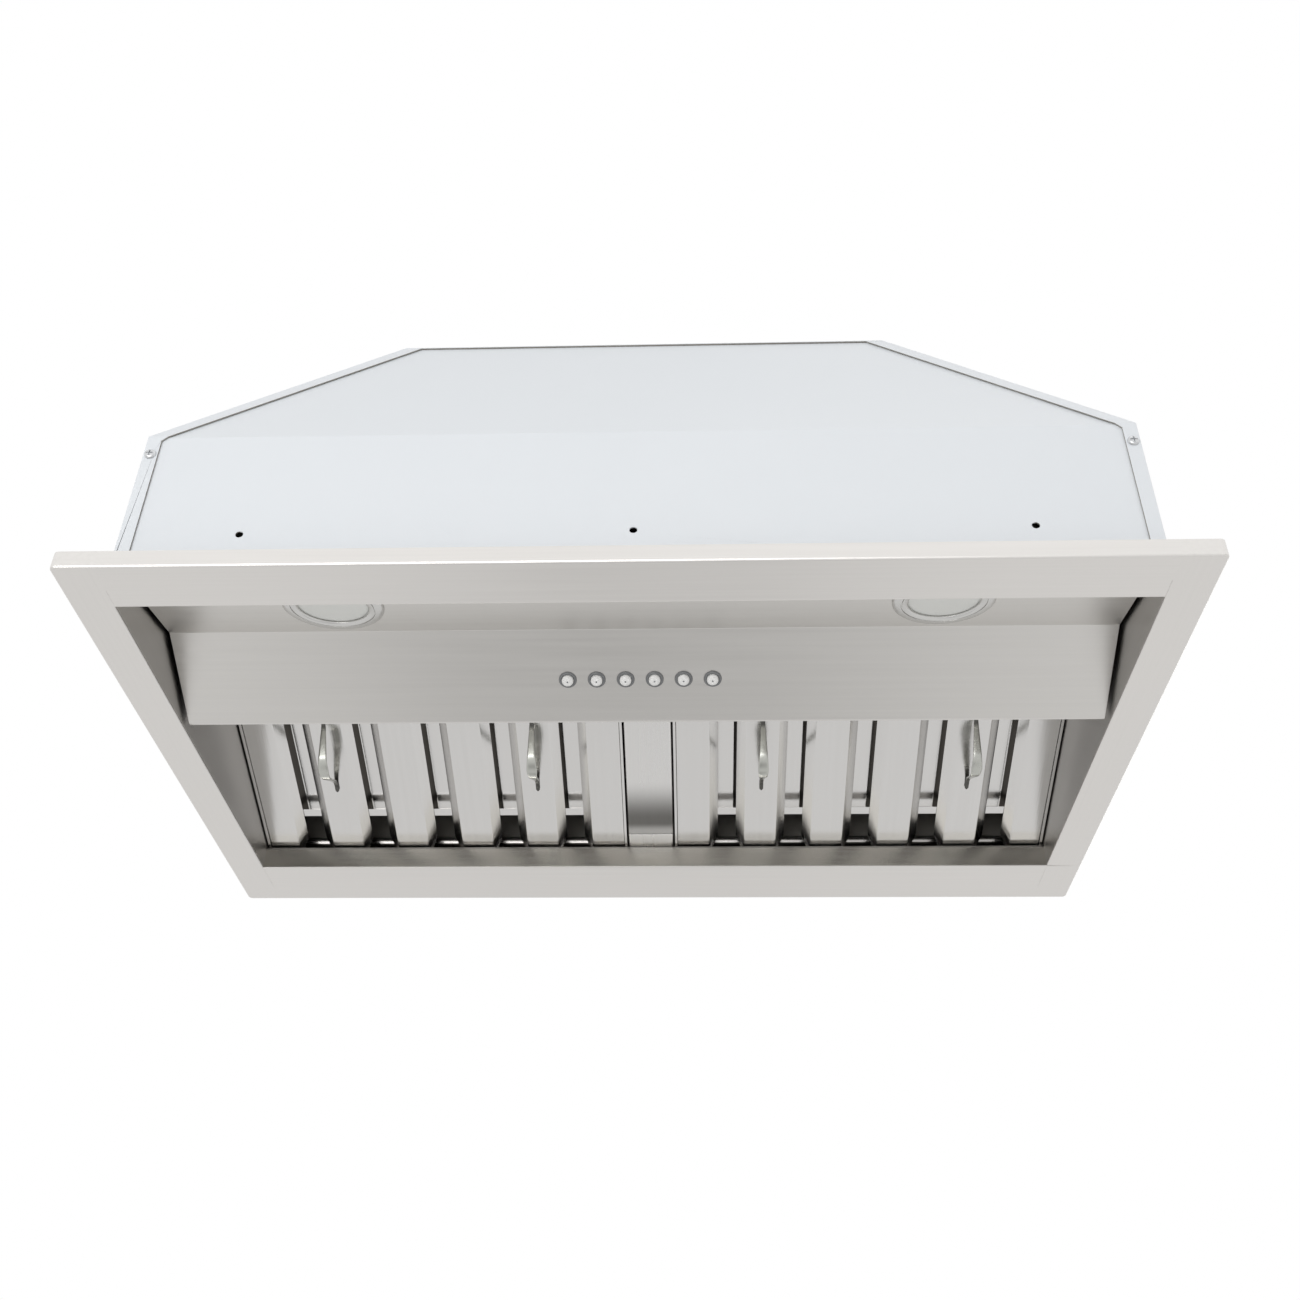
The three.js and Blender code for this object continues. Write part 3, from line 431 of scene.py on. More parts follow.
def coated(slot, dark, light, roughness, peel=700, relief=0.12, inner=None):
    """Powder-coated or moulded surface: soft clouds, smudges in the gloss and a fine peel. The
    faces that look into the body can be painted darker: painted shade."""
    made, shader, place = finish(slot, {"Metallic": 0.0, "Specular IOR Level": 0.45})
    cloud = noise(place, cloud_stretch, 3.0)
    smudge = noise(place, smudge_stretch, 4.0)
    grain = noise(place, (peel, peel, peel), 1.0)
    colour = tinted(cloud * 0.8 + smudge * 0.2, dark, light)
    if inner:
        colour = tinted(facing_inward(place), colour, inner)
    feed(shader, {
        "Base Color": colour,
        "Roughness": roughness + (smudge - 0.5) * smudge_gloss,
        "Normal": grain.node("Bump", inputs={"Height": grain, "Strength": relief, "Distance": peel_depth}),
    })
    return made


def copied(*nodes):
    """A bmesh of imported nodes, with the corners of their triangles joined."""
    form = bmesh.new()
    for node in nodes:
        form.from_mesh(frame["nodes"][node].data)
    bmesh.ops.remove_doubles(form, verts=form.verts, dist=2e-6)
    return form


def body_of(node):
    return next(body for body, nodes in frame["record"]["behaviour"]["bodies"].items() if node in nodes)


def dressed(node, material, width=edge_break, angle=32):
    """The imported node's own shape with broken edges."""
    piece = seated(node + "_finished", copied(node), material, body_of(node), node)
    return rounded(piece, width, angle)


# The body's inner faces are painted dark: painted shade where little light reaches.
coated_steel = coated("coated_steel", (0.765, 0.80, 0.835), (0.81, 0.84, 0.87), 0.42,
                      inner=(0.30, 0.285, 0.26))
for node in ("front_panel", "back_panel", "top_plate", "side_panel_left", "side_panel_right"):
    dressed(node, coated_steel, width=0.0004, angle=14)


def skin(rings, looped=False):
    """A form over rings of equally many points, with flat ends or with its last ring on its first."""
    form = bmesh.new()
    made = [[form.verts.new(point) for point in ring] for ring in rings]
    pairs = list(zip(made, made[1:]))
    if looped:
        pairs.append((made[-1], made[0]))
    else:
        form.faces.new(made[0])
        form.faces.new(made[-1])
    for low, high in pairs:
        for here in range(len(low)):
            there = (here + 1) % len(low)
            form.faces.new((low[here], low[there], high[there], high[here]))
    bmesh.ops.recalc_face_normals(form, faces=form.faces)
    return form


def turned(profile, steps=64):
    """A body of revolution about Z, from a profile of (radius, height)."""
    form = bmesh.new()
    verts = [form.verts.new((radius, 0, height)) for radius, height in profile]
    edges = [form.edges.new(pair) for pair in zip(verts, verts[1:])]
    bmesh.ops.spin(form, geom=verts + edges, axis=(0, 0, 1), cent=(0, 0, 0), angle=math.tau,
                   steps=steps, use_merge=True)
    bmesh.ops.remove_doubles(form, verts=form.verts, dist=1e-7)
    bmesh.ops.recalc_face_normals(form, faces=form.faces)
    return form


def joined(whole, *others):
    """One form of several."""
    for other in others:
        mesh = bpy.data.meshes.new("joined")
        other.to_mesh(mesh)
        other.free()
        whole.from_mesh(mesh)
        bpy.data.meshes.remove(mesh)
    return whole


def placed(form, tilt, place):
    """The form, drawn upright, at a place in tilted axes."""
    bmesh.ops.translate(form, verts=form.verts, vec=place)
    bmesh.ops.transform(form, matrix=tilt.to_4x4(), verts=form.verts)
    return form


zinc_screw = brushed("zinc_screw", (0.56, 0.57, 0.58), (0.72, 0.73, 0.74), (90, 90, 90), 0.26)
screw_radius = 0.002
screw_head_radius = 0.004
screw_head_height = 0.0019
recess_reach = 0.0022
recess_half = 0.0004
recess_depth = 0.0011
dome_steps = 10


def make_screw(length):
    """Pan-head screw along Z, its head up, with a cross recess."""
    radii = [screw_head_radius * share / dome_steps for share in range(dome_steps + 1)]
    dome = [(radius, screw_head_height * math.sqrt(1 - (radius / screw_head_radius) ** 4))
            for radius in radii]
    shank = [(screw_head_radius, 0), (screw_radius, 0), (screw_radius, -length), (0, -length)]
    form = turned(dome + shank, 48)
    for vert in form.verts:
        in_arm = min(abs(vert.co.x), abs(vert.co.y)) < recess_half and vert.co.xy.length < recess_reach
        if vert.co.z > 0 and in_arm:
            vert.co.z -= recess_depth
    return form


for place, way in (("front", 1), ("back", -1)):
    for side in ("left", "right"):
        node = f"seam_screw_{place}_{side}"
        low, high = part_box(node)
        upright = Matrix.Rotation(way * math.pi / 2, 3, "X")
        head_foot = low.y + screw_head_height if way > 0 else high.y - screw_head_height
        centre = upright.transposed() @ Vector(((low.x + high.x) / 2, head_foot, (low.z + high.z) / 2))
        screw = placed(make_screw(high.y - low.y - screw_head_height), upright, centre)
        seated(f"pan_head_{place}_{side}", screw, zinc_screw, "hood_body", node, sharp=40)


# ---------------------------------------------------------------- recess lining
# Stainless side liners and grease trough, and the folded panel that holds the lamps and buttons.
liner_steel = brushed(
    "liner_steel", (0.41, 0.395, 0.375), (0.51, 0.495, 0.475), (300, 6, 300), 0.36)
panel_steel = brushed("brushed_steel", (0.645, 0.63, 0.605), (0.745, 0.73, 0.705), (6, 300, 300), 0.33)
for node in ("side_liner_left", "side_liner_right", "grease_trough"):
    dressed(node, liner_steel)
dressed("light_control_panel", panel_steel, width=0.0004, angle=8)


# ---------------------------------------------------------------- filters
# Each is a stainless frame with upturned upper baffles on two crossbars, six lower baffles
# between them, and two riveted bow handles. A folded channel lies between the two filters.
def joint_axis(name):
    joints = frame["record"]["behaviour"]["joints"]
    return Vector(next(joint["axis"] for joint in joints if joint["name"] == name))


def tilt_to(normal):
    """Axes turned about X, with Z along a direction."""
    return Matrix.Rotation(math.atan2(-normal.y, normal.z), 3, "X")


def tilted_box(tilt, node):
    """The lowest and the highest corner of a node in tilted axes."""
    places = [tilt.transposed() @ vert.co for vert in frame["nodes"][node].data.vertices]
    return [Vector([pick(place[axis] for place in places) for axis in range(3)]) for pick in (min, max)]


def offset(path, distance):
    """A path in a plane, moved to its left."""
    steps = [(Vector(end) - Vector(start)).normalized() for start, end in zip(path, path[1:])]
    moved = []
    for index, point in enumerate(path):
        before = steps[max(index - 1, 0)]
        after = steps[min(index, len(steps) - 1)]
        scale = distance / (1 + before.dot(after))
        moved.append((point[0] - (before.y + after.y) * scale, point[1] + (before.x + after.x) * scale))
    return moved


def arced(path, radius, steps=6):
    """The path with an arc in place of each inner corner."""
    points = [Vector(path[0])]
    for start, corner, end in zip(path, path[1:], path[2:]):
        corner = Vector(corner)
        back = Vector(start) - corner
        ahead = Vector(end) - corner
        half = back.angle(ahead) / 2
        reach = min(radius / math.tan(half), back.length / 2, ahead.length / 2)
        inward = (back.normalized() + ahead.normalized()).normalized()
        centre = corner + inward * (reach * math.tan(half) / math.sin(half))
        first = corner + back.normalized() * reach - centre
        last = corner + ahead.normalized() * reach - centre
        turn = math.atan2(first.x * last.y - first.y * last.x, first.dot(last))
        points += [centre + Matrix.Rotation(turn * step / steps, 2) @ first for step in range(steps + 1)]
    return points + [Vector(path[-1])]


def folded(path, thickness, radius):
    """The outline of a folded sheet: the path is one face, and the metal lies to its left."""
    middle_line = arced(offset(path, thickness / 2), radius)
    return offset(middle_line, -thickness / 2) + offset(middle_line, thickness / 2)[::-1]


def lengthwise(outline, start, end):
    """A straight bar along Y, from an outline in X and Z."""
    return skin([[(x, y, z) for x, z in outline] for y in (start, end)])


slide = joint_axis("filter_left_slide")
filter_tilt = tilt_to(Vector((0, slide.z, -slide.y)))
filter_turn = (math.atan2(-slide.z, -slide.y), 0, 0)
baffle_colours = ((0.63, 0.62, 0.605), (0.72, 0.71, 0.70))
baffle_brushing = {"grain": (260, 5, 260), "roughness": 0.19, "turn": filter_turn}
baffle_steel = brushed("baffle_steel", *baffle_colours, **baffle_brushing)
filter_sheet = 0.001
baffle_flat = 0.026
baffle_outset = 0.0012
baffle_bend = 0.0014
chamfer_length = 0.020
chamfer_start = 0.001
baffle_flare = 0.0075
baffle_rise = 0.0062


def chamfered(form, middle_x, side, tip, tip_y):
    """Cuts a flared edge away towards one end of a baffle."""
    run = baffle_flare + chamfer_start
    fall = chamfer_length + chamfer_start
    point = (middle_x + side * baffle_flat / 2, tip_y + tip * chamfer_start, 0)
    cut(form, point, (side * fall, tip * run, 0), clear_outer=True)
    bmesh.ops.holes_fill(form, edges=[edge for edge in form.edges if edge.is_boundary])


plain_low, plain_high = tilted_box(filter_tilt, "baffle_left_2")


def make_baffle(node, outer_side):
    """Lower baffle: a flat with two flared edges, narrower at both ends. The outer edge of an end
    baffle is turned straight up instead."""
    low, high = tilted_box(filter_tilt, node)
    flat = baffle_flat / 2
    wide = flat + baffle_flare
    reach = (plain_high.x - plain_low.x) / 2
    middle_x = high.x - reach if outer_side < 0 else low.x + reach
    middle_x += math.copysign(baffle_outset, middle_x)
    top = low.z + baffle_rise

    def edge(side):
        if side == outer_side:
            wall = low.x if side < 0 else high.x
            return [(wall, top), (wall, low.z)]
        return [(middle_x + side * wide, top), (middle_x + side * flat, low.z)]

    form = lengthwise(folded(edge(-1) + edge(1)[::-1], filter_sheet, baffle_bend), low.y, high.y)
    for side in (-1, 1):
        if side != outer_side:
            chamfered(form, middle_x, side, -1, low.y)
            chamfered(form, middle_x, side, 1, high.y)
    return placed(form, filter_tilt, (0, 0, 0))


handle_top = tilted_box(filter_tilt, "handle_left_outer")[1].z
foot_dark_start = 0.0065
foot_dark_end = 0.0035


def foot_shade(place):
    """One on the feet of the handles, under their grips, where dark shade is painted."""
    level = place.dot(filter_tilt.col[2])
    return smooth_step(level, handle_top - foot_dark_start, handle_top - foot_dark_end)


handle_steel = brushed("brushed_steel", (0.47, 0.475, 0.44), (0.57, 0.575, 0.54), (300, 9, 300), 0.26,
                       turn=filter_turn, paint_mask=foot_shade, painted_light_or_shade=(0.11, 0.108, 0.10), dulling=0.1)
handle_end = 0.046
handle_grip = 0.014
handle_foot = 0.011
handle_round = 0.028
handle_width = 0.0085
handle_foot_width = 0.0032
strap = 0.0016
strap_step = 0.0015
strap_points = 16
strap_side_round = 0.4
strap_face_round = 0.6
foot_tip = 0.04
rivet_radius = 0.0013
rivet_height = 0.0006


def spaced(path, step):
    """The path with its points no further apart than a step."""
    points = [Vector(path[0])]
    for start, end in zip(path, path[1:]):
        count = math.ceil((Vector(end) - Vector(start)).length / step)
        points += [Vector(start).lerp(Vector(end), share / count) for share in range(1, count + 1)]
    return points


def strap_half_width(along, half):
    """Half the width of a handle's strap at a place along it: full in the middle, a round foot."""
    foot = handle_foot_width / 2
    share = min(abs(along) / (half - handle_foot), 1)
    width = handle_width / 2 + (foot - handle_width / 2) * share
    from_end = max(half - abs(along), foot_tip * foot)
    if from_end < foot:
        width *= math.sqrt(1 - (1 - from_end / foot) ** 2)
    return width


def strap_ring(centre_x, along, level, normal, half_width):
    """A ring round the strap: an oblong with rounded corners, square to the strap."""
    ring = []
    for step in range(strap_points):
        angle = math.tau * (step + 0.5) / strap_points
        side, up = math.cos(angle), math.sin(angle)
        reach_x = half_width * math.copysign(abs(side) ** strap_side_round, side)
        reach_n = strap / 2 * math.copysign(abs(up) ** strap_face_round, up)
        ring.append((centre_x + reach_x, along + normal.x * reach_n, level + normal.y * reach_n))
    return ring


def make_handle(node):
    """Bow handle: a strap on two riveted feet."""
    low, high = tilted_box(filter_tilt, node)
    rail_low, rail_high = tilted_box(filter_tilt, "filter_frame_left")
    rear = (rail_low.y + rail_high.y) / 2 + handle_end
    centre = Vector(((low.x + high.x) / 2, (low.y + rear) / 2))
    centre.x += math.copysign(baffle_outset, centre.x)
    half = (rear - low.y) / 2
    foot_level = high.z - strap / 2
    grip_level = low.z + strap / 2
    front = [(-half, foot_level), (handle_foot - half, foot_level), (-handle_grip / 2, grip_level)]
    corners = front + [(-along, level) for along, level in front[::-1]]
    line = spaced(arced(corners, handle_round, 10), strap_step)
    rings = []
    for index, point in enumerate(line):
        ahead = (line[min(index + 1, len(line) - 1)] - line[max(index - 1, 0)]).normalized()
        normal = Vector((-ahead.y, ahead.x))
        width = strap_half_width(point.x, half)
        rings.append(strap_ring(centre.x, centre.y + point.x, point.y, normal, width))
    form = skin(rings)
    rivet_head = [(0, -rivet_height), (rivet_radius * 0.55, -rivet_height * 0.9),
                  (rivet_radius * 0.9, -rivet_height * 0.45), (rivet_radius, 0), (0, 0)]
    for end in (-1, 1):
        rivet = turned(rivet_head, 24)
        place = (centre.x, centre.y + end * (half - handle_foot / 2), high.z - strap)
        bmesh.ops.translate(rivet, verts=rivet.verts, vec=place)
        form = joined(form, rivet)
    return placed(form, filter_tilt, (0, 0, 0))


frame_lip = 0.016
shown_lip = 0.0045
slot_gap = 0.011
slot_pitch = (plain_high.x - plain_low.x) + slot_gap
slot_count = 5
upper_bend = 0.0125
bend_reach = 0.0012
lip_reach = 1e-4
upper_narrower = 0.0056
upper_end = 0.0945
upper_shorter = 0.0052
top_lip = 0.006
shown_top_lip = 0.0035
dark_foot = 1.5 * filter_sheet
dark_top = 2.4 * filter_sheet
filter_low, filter_high = tilted_box(filter_tilt, "filter_frame_right")


def within(value, start, end):
    return (value > start) * (value < end)


def upper_shade(place):
    """One on what stands up inside a filter's frame, and faces the dark of the body: painted near-black
    shade.
    """
    across = place.math("ABSOLUTE", place.axes())
    along, level = [place.dot(filter_tilt.col[axis]) for axis in (1, 2)]
    wall = filter_sheet / 2
    return (within(across, filter_low.x + wall, filter_high.x - wall)
            * within(along, filter_low.y + wall, filter_high.y - wall)
            * within(level, filter_low.z + dark_foot, filter_high.z - dark_top))


upper_steel = brushed("baffle_steel", *baffle_colours, **baffle_brushing,
                      paint_mask=upper_shade, painted_light_or_shade=(0.065, 0.060, 0.054), dulling=0.1)


def make_filter_frame(node):
    """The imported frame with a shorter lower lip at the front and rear, and with upper baffles that
    are shorter, and whose flats are narrower and whose flares are wider."""
    form = copied(node)
    low, high = tilted_box(filter_tilt, node)
    middle_x = (low.x + high.x) / 2
    middle_y = (low.y + high.y) / 2
    for vert in form.verts:
        place = filter_tilt.transposed() @ vert.co
        along = place.y - middle_y
        if abs(along) < upper_end and place.z > low.z + 2 * filter_sheet:
            vert.co -= filter_tilt.col[1] * math.copysign(upper_shorter, along)
        for end, way in ((low.y, 1), (high.y, -1)):
            if at(place.y, end + way * frame_lip, lip_reach) and place.z < low.z + 2 * filter_sheet:
                vert.co -= filter_tilt.col[1] * way * (frame_lip - shown_lip)
            if at(place.y, end + way * top_lip, lip_reach) and place.z > high.z - 2 * filter_sheet:
                vert.co -= filter_tilt.col[1] * way * (top_lip - shown_top_lip)
        for slot in range(slot_count):
            across = place.x - middle_x - (slot - (slot_count - 1) / 2) * slot_pitch
            if at(abs(across), upper_bend, bend_reach) and place.z > high.z - 3 * filter_sheet:
                vert.co.x -= math.copysign(upper_narrower, across)
    return form


bar_start = 0.0725
bar_end = 0.080
bar_level = 0.0082
bar_height = 0.0008


def make_crossbars(node):
    """Two flat bars welded across the tips of the upper baffles' flares."""
    low, high = tilted_box(filter_tilt, node)
    middle_y = (low.y + high.y) / 2
    left, right = low.x + slot_pitch / 2, high.x - slot_pitch / 2
    foot = low.z + bar_level
    outline = [(left, foot), (right, foot), (right, foot + bar_height), (left, foot + bar_height)]
    bars = []
    for way in (-1, 1):
        start, end = sorted((middle_y + way * bar_start, middle_y + way * bar_end))
        bars.append(lengthwise(outline, start, end))
    return placed(joined(*bars), filter_tilt, (0, 0, 0))


for side in ("left", "right"):
    body = f"filter_{side}"
    node = f"filter_frame_{side}"
    seated(f"crossbars_{side}", make_crossbars(node), baffle_steel, body)
    rounded(seated(f"welded_frame_{side}", make_filter_frame(node), upper_steel, body, node), 0.0002)
    for number in range(1, 7):
        node = f"baffle_{side}_{number}"
        form = make_baffle(node, {1: -1, 6: 1}.get(number, 0))
        rounded(seated(f"folded_baffle_{side}_{number}", form, baffle_steel, body, node), 0.0002)
    for place in ("inner", "outer"):
        node = f"handle_{side}_{place}"
        seated(f"bow_handle_{side}_{place}", make_handle(node), handle_steel, body, node, sharp=50)


divider_bend = 0.0016
divider_lip = 0.0265
divider_seam = 0.0005
divider_low, divider_high = tilted_box(filter_tilt, "filter_divider")
dark_begins = 0.060
dark_full = 0.017
dark_fades = 0.013
dark_faded = 0.004
fade_share = 0.5


def divider_shade(place):
    """One in the band near the rear end that faces the dark of the recess: a painted dark reflection."""
    along = place.dot(filter_tilt.col[1])
    fold = divider_high.y - divider_lip
    return (smooth_step(along, fold - dark_begins, fold - dark_full)
            * (1 - fade_share * smooth_step(along, fold - dark_fades, fold - dark_faded))
            * (1 - smooth_step(along, fold - divider_seam, fold + divider_seam)))


def make_divider():
    """Channel with its sides turned up. A short lip at the rear is a separate fold."""
    half = divider_high.x
    path = [(-half, divider_high.z), (-half, divider_low.z), (half, divider_low.z), (half, divider_high.z)]
    outline = folded(path, sheet, divider_bend)
    lip = divider_high.y - divider_lip
    form = joined(lengthwise(outline, divider_low.y, lip - divider_seam),
                  lengthwise(outline, lip, divider_high.y))
    return placed(form, filter_tilt, (0, 0, 0))


divider_steel = brushed("brushed_steel", (0.69, 0.68, 0.665), (0.79, 0.78, 0.765), (300, 6, 300), 0.28,
                        turn=filter_turn, paint_mask=divider_shade, painted_light_or_shade=(0.20, 0.195, 0.185))
rounded(seated("folded_divider", make_divider(), divider_steel, "hood_body", "filter_divider"), edge_break)


# ---------------------------------------------------------------- lamps
# A spun stainless bezel with a groove round it, a frosted lens with fine pressed rings, and a can
# behind the panel.
def facing(node):
    """The direction that the largest face of a node has."""
    return max(frame["nodes"][node].data.polygons, key=lambda face: face.area).normal


light_tilt = tilt_to(facing("lamp_lens_left"))
rim_proud = 0.0026
aperture = 0.0235
neck_radius = 0.030
neck_height = 0.005
lens_radius = 0.026
lens_ring_pitch = 0.0016
lens_ring_relief = 0.00012
fit = 0.0003

spun_steel = brushed("brushed_steel", (0.58, 0.575, 0.56), (0.69, 0.685, 0.67), (160, 160, 160), 0.2)
lens = coated("lens", (0.80, 0.81, 0.78), (0.86, 0.87, 0.84), 0.24, peel=1500, relief=0.05)


def make_bezel(radius):
    """Bezel about Z with the panel's face at nought and its own face below."""
    seat = -0.0009
    face = -rim_proud
    groove = neck_radius - 0.002
    return turned([
        (aperture, seat), (aperture, face + 0.0011), (aperture + 0.0004, face + 0.0004),
        (aperture + 0.0012, face + 0.0001), (groove - 0.0006, face), (groove - 0.0004, face + 0.0006),
        (groove + 0.0002, face + 0.0006), (groove + 0.0004, face), (radius - 0.0030, face),
        (radius - 0.0014, face + 0.0003), (radius - 0.0004, face + 0.0010), (radius, face + 0.0018),
        (radius, -fit), (neck_radius, -fit), (neck_radius, neck_height),
        (lens_radius + fit, neck_height), (lens_radius + fit, seat), (aperture, seat)], 96)


def make_lens(depth):
    """Lens about Z with its back at nought: a low dome with pressed rings."""
    count = round(2 * aperture / lens_ring_pitch)
    rim = aperture - fit
    crown = 0.0008
    rings = []
    for index in range(count + 1):
        radius = rim * index / count
        dome = crown * (1 - (radius / rim) ** 2)
        rings.append((radius, -depth + crown - dome + lens_ring_relief * (index % 2)))
    return turned(rings + [(lens_radius, rings[-1][1]), (lens_radius, 0), (0, 0)], 72)


for side in ("left", "right"):
    low, high = tilted_box(light_tilt, f"lamp_bezel_{side}")
    axis = Vector(((low.x + high.x) / 2, (low.y + high.y) / 2, low.z + rim_proud))
    bezel = placed(make_bezel((high.x - low.x) / 2), light_tilt, axis)
    seated(f"spun_bezel_{side}", bezel, spun_steel, "hood_body", f"lamp_bezel_{side}", sharp=50)
    low, high = tilted_box(light_tilt, f"lamp_lens_{side}")
    frosted = placed(make_lens(high.z - low.z), light_tilt, (axis.x, axis.y, high.z))
    seated(f"frosted_lens_{side}", frosted, lens, "hood_body", f"lamp_lens_{side}", sharp=60)


# ---------------------------------------------------------------- switches
# Six domed push buttons in dark plastic bezels, on one switch block behind the fascia.
fascia_tilt = tilt_to(joint_axis("button_1_press"))
grey_plastic = coated("grey_plastic", (0.16, 0.165, 0.17), (0.21, 0.215, 0.22), 0.3,
                      peel=2500, relief=0.05)
button_plastic = coated("button_plastic", (0.84, 0.84, 0.83), (0.90, 0.90, 0.89), 0.28,
                        peel=2500, relief=0.03)
button_radius = 0.0042
bezel_radius = 0.0056
bezel_lip = 0.0064
bezel_proud = 0.0014
behind_panel = 0.0015
dot_radius = 0.0006


def make_button(length):
    """Button about Z with the tip of its dome at nought: a low dome with a dimple."""
    return turned([
        (0, 0.0003), (dot_radius, 0.0003), (dot_radius + 0.0001, 0.00005), (0.0016, 0), (0.0025, 0.0002),
        (0.0033, 0.0006), (0.0039, 0.0012), (button_radius, 0.0020), (button_radius, length),
        (0, length)], 48)


def make_button_bezel(back):
    """Ring round a button, with a lip on the fascia's face, which is at nought."""
    bore = button_radius + fit
    return turned([
        (bore, back), (bore, 0.0002 - bezel_proud), (bore + 0.0002, -bezel_proud),
        (bezel_radius - 0.0003, -bezel_proud), (bezel_radius + 0.0002, -0.0011), (bezel_lip, -0.0004),
        (bezel_lip, -0.00005), (bezel_radius, -0.00005), (bezel_radius, back), (bore, back)], 48)


block_low, block_high = tilted_box(fascia_tilt, "switch_block")
fascia_face = block_low.z + bezel_proud
block_foot = fascia_face + behind_panel
switches = skin([
    [(x, y, z) for x, y in ((block_low.x, block_low.y), (block_high.x, block_low.y),
                            (block_high.x, block_high.y), (block_low.x, block_high.y))]
    for z in (block_foot, block_high.z)])
for number in range(1, 7):
    low, high = tilted_box(fascia_tilt, f"button_{number}")
    axis = (low + high) / 2
    bezel = make_button_bezel(behind_panel)
    bmesh.ops.translate(bezel, verts=bezel.verts, vec=(axis.x, axis.y, fascia_face))
    switches = joined(switches, bezel)
    button = placed(make_button(high.z - low.z), fascia_tilt, (axis.x, axis.y, low.z))
    seated(f"push_button_{number}", button, button_plastic, f"button_{number}", f"button_{number}", sharp=50)
    dot = turned([(0, 0), (dot_radius * 0.9, 0.00005), (dot_radius * 0.9, 0.0002), (0, 0.0002)], 24)
    placed(dot, fascia_tilt, (axis.x, axis.y, low.z + 0.0001))
    seated(f"button_dot_{number}", dot, grey_plastic, f"button_{number}", sharp=50)
placed(switches, fascia_tilt, (0, 0, 0))
seated("switch_row", switches, grey_plastic, "hood_body", "switch_block", sharp=50)


# ---------------------------------------------------------------- duct collar and damper
# Galvanised collar with a square-to-round foot, a rolled bead and a flange on the top plate. Two
# half-round flaps hang on one pin.
crystals_a_metre = 140.0


def zinc_coated(slot, dark, light, roughness):
    """Galvanised sheet: a spangle of flat crystals, each with its own tone and gloss."""
    made, shader, place = finish(slot, {"Metallic": 1.0})
    spangle = place.node("TexVoronoi", inputs={"Vector": place, "Scale": crystals_a_metre}, output=1)
    tone = spangle.node("SeparateColor", inputs={0: spangle})
    dulled = noise(place, (12, 12, 12), 3.0)
    feed(shader, {
        "Base Color": tinted(tone * 0.6 + dulled * 0.4, dark, light),
        "Roughness": roughness + (tone - 0.5) * 0.18 + (dulled - 0.5) * 0.1,
        "Normal": dulled.node("Bump", inputs={"Height": tone, "Strength": 0.05, "Distance": 0.0003}),
    })
    return made


galvanised = zinc_coated("galvanised", (0.46, 0.48, 0.49), (0.62, 0.64, 0.65), 0.36)
collar_low, collar_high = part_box("duct_collar")
top_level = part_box("top_plate")[1].z
collar_radius = 0.076
collar_foot = collar_low.z
transition_top = collar_foot + 0.020
transition_steps = 5
bead_proud = 0.002
bead_middle = collar_high.z - 0.006
bead_half = 0.003
bead_steps = 8
flange_half_x = 0.0732
flange_half_y = 0.0572
outlet_half_x = 0.0642
outlet_half_y = 0.0482


def corner_angles(half_x, half_y, steps=14):
    """Angles all round, with one at each corner of a rectangle."""
    corner = math.atan2(half_y, half_x)
    stops = [0, corner, math.pi - corner, math.pi, math.pi + corner, math.tau - corner, math.tau]
    return [start + (end - start) * step / steps
            for start, end in zip(stops, stops[1:]) for step in range(steps)]


angles = corner_angles(outlet_half_x, outlet_half_y)


def round_ring(radius, z):
    return [(radius * math.cos(angle), radius * math.sin(angle), z) for angle in angles]


def square_ring(inset, z):
    """A ring on the rectangle of the outlet, moved inwards."""
    ring = []
    for angle in angles:
        across, along = abs(math.cos(angle)), abs(math.sin(angle))
        reach = min(outlet_half_x / max(across, 1e-6), outlet_half_y / max(along, 1e-6))
        scale_x = 1 - inset / outlet_half_x
        scale_y = 1 - inset / outlet_half_y
        ring.append((reach * math.cos(angle) * scale_x, reach * math.sin(angle) * scale_y, z))
    return ring


def blended(first, second, share):
    return [Vector(a).lerp(Vector(b), share) for a, b in zip(first, second)]


def make_collar():
    """Thin wall from the outlet's rectangle up to a round, with a rolled bead near its rim."""
    foot_out, foot_in = square_ring(0, collar_foot), square_ring(sheet, collar_foot)
    top_out = round_ring(collar_radius, transition_top)
    top_in = round_ring(collar_radius - sheet, transition_top)
    shares = [step / transition_steps for step in range(transition_steps + 1)]
    outside = [blended(foot_out, top_out, share) for share in shares]
    outside += [round_ring(collar_radius, bead_middle - bead_half * 1.2)]
    for step in range(bead_steps + 1):
        angle = math.pi * step / bead_steps
        proud = bead_proud * math.sin(angle)
        outside.append(round_ring(collar_radius + proud, bead_middle - bead_half * math.cos(angle)))
    outside.append(round_ring(collar_radius, collar_high.z))
    inside = [round_ring(collar_radius - sheet, collar_high.z)]
    inside += [blended(top_in, foot_in, share) for share in shares]
    return skin(outside + inside, looped=True)


def make_flange():
    """Flat ring round the foot of the collar, with its corners cut."""
    corner = 0.004
    outer = []
    for side_x, side_y in ((1, 1), (-1, 1), (-1, -1), (1, -1)):
        pair = [(side_x * flange_half_x, side_y * (flange_half_y - corner)),
                (side_x * (flange_half_x - corner), side_y * flange_half_y)]
        outer += pair if side_x * side_y > 0 else pair[::-1]
    inner = [(side_x * outlet_half_x, side_y * outlet_half_y)
             for side_x, side_y in ((1, 1), (-1, 1), (-1, -1), (1, -1)) for _ in range(2)]
    low, high = collar_foot, collar_foot + sheet
    return skin([[(x, y, low) for x, y in outer], [(x, y, high) for x, y in outer],
                 [(x, y, high) for x, y in inner], [(x, y, low) for x, y in inner]], looped=True)


